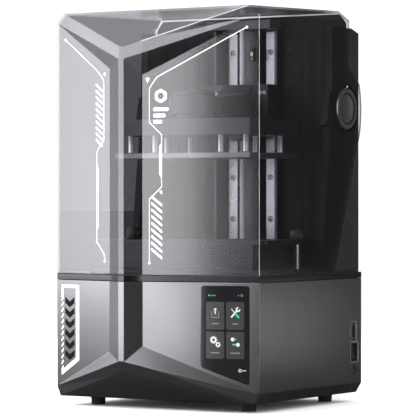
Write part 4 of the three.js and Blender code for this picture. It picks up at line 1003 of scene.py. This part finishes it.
# ---- Rear housing and hinge ----
low, high = box("rear_housing")
WALL_FRONT = 128.0
grooves = []
housing_screws = []
for side in (-1, 1):
    for x in (84.0, 88.5, 102.0, 106.5, 120.5, 125.0):
        start = (side * x - 0.9, WALL_FRONT - 2, low.z + 12)
        end = (side * x + 0.9, WALL_FRONT + 0.9, high.z - 12)
        grooves.append(rounded_box(start, end, 0.2))
    for z in (low.z + 40, (low.z + high.z) / 2, high.z - 40):
        housing_screws.append(socket_screw((side * 66.0, WALL_FRONT, z), "-y", 2.6, 0.5))
housing_extras = [(screw, DARK_SCREW) for screw in housing_screws]
refined("rear_housing", HOUSING, "housing", 0.7, 3.0, grooves, housing_extras)

crown_z = box("lid")[1].z
half_lip = [(158, 527.7), (158, 533.4), (153.4, 540.3), (147.4, crown_z - 4)]
lip = half_lip + [(-x, z) for x, z in reversed(half_lip)]
lip_place = Matrix(((1, 0, 0, 0), (0, 0, 1, 0), (0, 1, 0, 0), (0, 0, 0, 1)))
strip_start = (-140.6, WALL_FRONT - 0.2, crown_z - 5.2)
strip_end = (140.6, WALL_FRONT + 2.4, crown_z - 3.9)
hood_lip = Piece("hood_lip")
hood_lip.add(prism(lip, WALL_FRONT + 0.2, WALL_FRONT + 1.8, lip_place), HOUSING)
hood_lip.add(rounded_box(strip_start, strip_end, 0.4), RUBBER)
hood_lip.done("base", "housing")

low, high = box("rear_cover")
cover_place = panel((0, high.y), (-1, high.y))
louvre_rows = [high.z - 60 - row * 9.0 for row in range(12)]
louvres = [prism(bar((-52, z), (52, z), 3.2, True), -3.0, 2.0, cover_place) for z in louvre_rows]
screw_rows = (low.z + 12, (low.z + high.z) / 2, high.z - 12)
cover_spots = [(x, z) for x in (low.x + 10, high.x - 10) for z in screw_rows]
cover_spots += [(0.0, low.z + 12), (0.0, high.z - 12)]
wells = [turned([(4.6, -0.1), (4.2, 0.3), (4.2, 2.4)], (x, high.y, z), "-y", 28) for x, z in cover_spots]
panel_line = carved(rounded_box((-92, high.y - 0.6, low.z + 30), (92, high.y + 1, high.z - 30), 0.2),
                    rounded_box((-90.6, high.y - 2, low.z + 31.4), (90.6, high.y + 2, high.z - 31.4), 0.2))
cover_extras = [(socket_screw((x, high.y - 2.35, z), "y", 3.3, 1.9), DARK_SCREW) for x, z in cover_spots]
refined("rear_cover", HOUSING, "housing", 0.5, 3.0, louvres + wells + [panel_line], cover_extras)

for side, sign in (("left", -1), ("right", 1)):
    out = "x" if sign > 0 else "-x"
    centre = axis_of(f"hinge_pin_{side}", "x")
    near, far = sorted(sign * corner.x for corner in box(f"hinge_pin_{side}"))
    profile = [(6.4, near), (7, near + 0.6), (7, far - 0.6), (6.4, far)]
    pin = Piece(f"hinge_pin_{side}_shape").add(turned(profile, centre, out, 64), STEEL_TURNED)
    pin.done("base", "steel", f"hinge_pin_{side}")

    near, far = sorted(sign * corner.x for corner in box(f"hinge_hub_{side}"))
    disc = [(20.9, near + 1.0), (20.9, far - 1.2), (19.7, far - 0.7), (2.0, far - 0.5)]
    hub = Piece(f"hinge_hub_{side}_shape")
    # The black rings behind and around the hub ring, and the black ring between the hub disc and the hub
    # ring, are painted shade in the gap around the hub and in its groove.
    hub.add(washer(7.4, 35.5, near, near + 0.8, centre, out, 96, 0.15), INK_AND_SHADE)
    hub.add(washer(7.4, 31.5, near + 0.7, far - 1.3, centre, out, 96, 0.1), INK_AND_SHADE)
    hub.add(washer(22.4, 29.6, near + 0.7, far, centre, out, 96, 1.6), HUB_RING)
    hub.add(turned(disc, centre, out, 96), HUB_DISC)
    hub.add(washer(20.5, 22.8, near + 0.9, far - 1.5, centre, out, 96, 0.1), INK_AND_SHADE)
    dot = (centre[0], centre[1], centre[2] + 30.9)
    hub.add(turned([(0.9, far - 0.9), (0.8, far - 0.25)], dot, out, 20), PRINT)
    hub.done("lid", "housing", f"hinge_hub_{side}")

# ---- Lid ----
LID_MATERIALS = [LID, LID_INSIDE, LID_EDGE, LID_CORNER, LID_REAR]
OUTSIDE, INSIDE, EDGE, CORNER, REAR_EDGE = range(len(LID_MATERIALS))
WALL = 2.9  # a narrower face than this belongs to the edge of the lid's wall
FOLD_ANGLE = math.radians(12.3)  # below this, two facets meet without an edge that is rounded


def round_edges(bm, edges, width, segments, material):
    edges = [edge for edge in edges if edge.is_valid]
    bmesh.ops.bevel(bm, geom=edges, offset=width, segments=segments, profile=0.5, affect="EDGES",
                    clamp_overlap=False, material=material)


bm = softened("lid", 0)
heart = Vector((0, 20, 350))  # a place inside the lid, from which its inner faces are seen
for face in bm.faces:
    around = sum(edge.calc_length() for edge in face.edges)
    if 2 * face.calc_area() / around < WALL:
        face.material_index = REAR_EDGE if face.calc_center_median().y > 120 else EDGE
    elif face.normal.dot(face.calc_center_median() - heart) < 0:
        face.material_index = INSIDE
long_edges = [e for e in bm.edges if len(e.link_faces) == 2 and e.calc_length() > 6]
rims = [e for e in long_edges
        if {f.material_index for f in e.link_faces} in ({OUTSIDE, EDGE}, {OUTSIDE, REAR_EDGE})]
folds = [e for e in long_edges if e.calc_face_angle(0.0) > FOLD_ANGLE
         and all(f.material_index == OUTSIDE for f in e.link_faces)]
# The right front corner and the crown's right front edge catch the light.
lit = [e for e in folds if all(v.co.x > HALF - 1 and v.co.y < 0 for v in e.verts)
       or all(v.co.z > 498 and -2 < v.co.x < 151 and v.co.y < 0 for v in e.verts)]
soft = [e for e in folds if e not in lit]
round_edges(bm, lit, 0.6, 3, CORNER)
round_edges(bm, rims, 0.5, 2, EDGE)
round_edges(bm, soft, 0.35, 2, OUTSIDE)
bm.normal_update()
lid = Piece("lid_shape")
lid.materials = LID_MATERIALS
lid.marks = [face.material_index for face in bm.faces]
points, lid.faces = from_bmesh(bm)
lid.points = [tuple(point * MM) for point in points]
lid.done("lid", "smoke_clear", "lid", smooth=7.6, outwards=False)

right_line = [(149.8, 514.2), (20.6, 449.8), (10.3, 434.8), (10.3, 389.3), (28.0, 372.3), (28.0, 302.1),
              (10.3, 285.6), (10.3, 199.8)]
right_marks = path(right_line, 0.85)
right_marks += [circle(149.8, 514.2, 1.7, 20), circle(10.3, 199.8, 1.7, 20)]
right_marks.append([(24.6, 319.0), (28.0, 315.0), (28.0, 361.0), (24.6, 357.0)])
right_marks.append([(4.4, 449.2), (7.6, 442.6), (10.8, 449.2)])
right_marks += hatch(13.4, 28.6, 291.0, 208.0, 9, 3.4, 12.0)
right_marks.append([(24.6, 296.0), (28.6, 292.0), (28.6, 298.0)])
right_marks += ring_outlines(26.8, 424.6, 5.4, 9.6, 6, math.pi / 6)
right_marks += [[(16.4, z - 4.6), (x1, z - 4.6), (x1, z), (16.4, z)]
                for z, x1 in ((409.0, 37.6), (400.6, 33.0), (392.2, 28.4))]
left_line = [(18.8, 506.8), (87.7, 461.8), (101.8, 448.4), (102.2, 366.6), (91.3, 355.8), (87.0, 349.7),
             (87.0, 227.5), (103.1, 210.6), (103.6, 201.6)]
left_dots = ((18.8, 506.8, 1.7), (103.6, 201.6, 1.7), (103.6, 456.0, 1.9))
left_marks = path(left_line, 0.85)
left_marks += [circle(*dot, 20) for dot in left_dots]
left_marks.append([(87.0, 332.0), (90.0, 328.0), (90.0, 247.0), (87.0, 243.0)])
left_marks += hatch(85.4, 98.6, 444.0, 360.0, 10, 3.2, 9.0)
graphics = Piece("lid_graphics")
printed(graphics, right_marks, RIGHT_PANEL)
printed(graphics, left_marks, LEFT_PANEL)
graphics.done("lid", "smoke_clear")

# ---- Stage ----
floor_paint = Paint("floor")
floor_paint.colours(floor_paint.noise(3.0), "Fac", (0.97, 0.97, 0.97), (0.99, 0.99, 0.99))
floor_paint.set(Roughness=0.8, Specular_IOR_Level=0.1)
dimmed = floor_paint.node("ShaderNodeBsdfDiffuse", Color=(0.025, 0.025, 0.025, 1))
floor_rays = floor_paint.node("ShaderNodeLightPath")
floor_behind = floor_paint.spread(floor_rays, "Transparent Depth", 0.0, 0.6, 2.0, 3.0)
floor_share = floor_paint.node("ShaderNodeMath", {"operation": "MAXIMUM"})
floor_paint.link(floor_rays, "Is Glossy Ray", floor_share, 0)
floor_paint.link(floor_behind, "Result", floor_share, 1)
floor_paint.blend(floor_share, "Value", floor_paint.shader, dimmed)
bpy.ops.mesh.primitive_plane_add(size=400, location=(0, 0, 0))
floor = bpy.context.active_object
floor.name = "floor"
floor.data.materials.append(floor_paint.material)
floor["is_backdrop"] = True

STUDIO_LIGHT = 1.15  # what lights the object and stands behind it
MIRRORED_LIGHT = 0.06  # what gloss mirrors between the softboxes
SMOKED_LIGHT = 0.22  # what is left of it behind both walls of the lid
world = bpy.data.worlds.new("studio")
bpy.context.scene.world = world
sky = Nodes(world)
lighting = sky.node("ShaderNodeBackground", Color=(1, 1, 1, 1), Strength=STUDIO_LIGHT)
reflected = sky.node("ShaderNodeBackground", Color=(1, 1, 1, 1), Strength=MIRRORED_LIGHT)
rays = sky.node("ShaderNodeLightPath")
behind = sky.node("ShaderNodeMapRange", From_Min=2.0, From_Max=3.0, To_Min=STUDIO_LIGHT, To_Max=SMOKED_LIGHT)
choice = sky.node("ShaderNodeMixShader")
sky.link(rays, "Transparent Depth", behind, "Value")
sky.link(behind, "Result", lighting, "Strength")
sky.link(rays, "Is Glossy Ray", choice, "Fac")
sky.link(lighting, "Background", choice, 1)
sky.link(reflected, "Background", choice, 2)
sky.link(choice, "Shader", sky.node("ShaderNodeOutputWorld"), "Surface")


def softbox(name, centre, aim, width, height, radiance):
    light = bpy.data.lights.new(name, "AREA")
    light.shape = "RECTANGLE"
    light.size, light.size_y = width, height
    light.energy = radiance * math.pi * width * height
    made = in_scene(name, light)
    made.location = centre
    made.rotation_euler = (Vector(aim) - Vector(centre)).to_track_quat("-Z", "Y").to_euler()
    made.visible_camera = False


softbox("front_left", (-0.535, -0.833, 0.72), (-0.16, 0.094, 0.72), 1.0, 1.44, 4.9)
softbox("left", (-1.10, -0.20, 0.65), (0, 0.02, 0.65), 0.92, 1.5, 1.2)
softbox("left_high", (-1.02, -0.54, 0.72), (0, 0, 0.66), 0.22, 1.2, 4.8)
softbox("overhead", (0.0, 0.1, 1.9), (0, 0, 0.2), 1.6, 1.6, 1.2)
softbox("right_rear", (0.75, 0.58, 0.08), (0.163, 0.0, 0.08), 0.5, 0.13, 0.85)
softbox("right_strip", (1.12, -0.45, 0.55), (0.15, -0.1, 0.45), 0.16, 1.3, 14.0)
softbox("rear_left", (-1.25, 1.25, 0.45), (0, 0.1, 0.25), 1.2, 1.0, 1.6)
softbox("rear", (0.15, 1.7, 0.35), (0, 0.1, 0.25), 0.9, 0.8, 1.2)
softbox("upper_left", (-0.65, -0.46, 1.48), (-0.02, -0.15, 0.51), 0.7, 0.7, 1.9)

camera = in_scene("camera", bpy.data.cameras.new("camera"))
camera.data.lens = 223.9
camera.data.sensor_width = 36.0
camera.location = (1.9095, -3.0719, 0.2739)
camera.rotation_euler = (math.pi / 2, 0, 0.554)
bpy.context.scene.camera = camera
bpy.context.scene.view_settings.view_transform = "Standard"
bpy.context.scene.view_settings.look = "None"
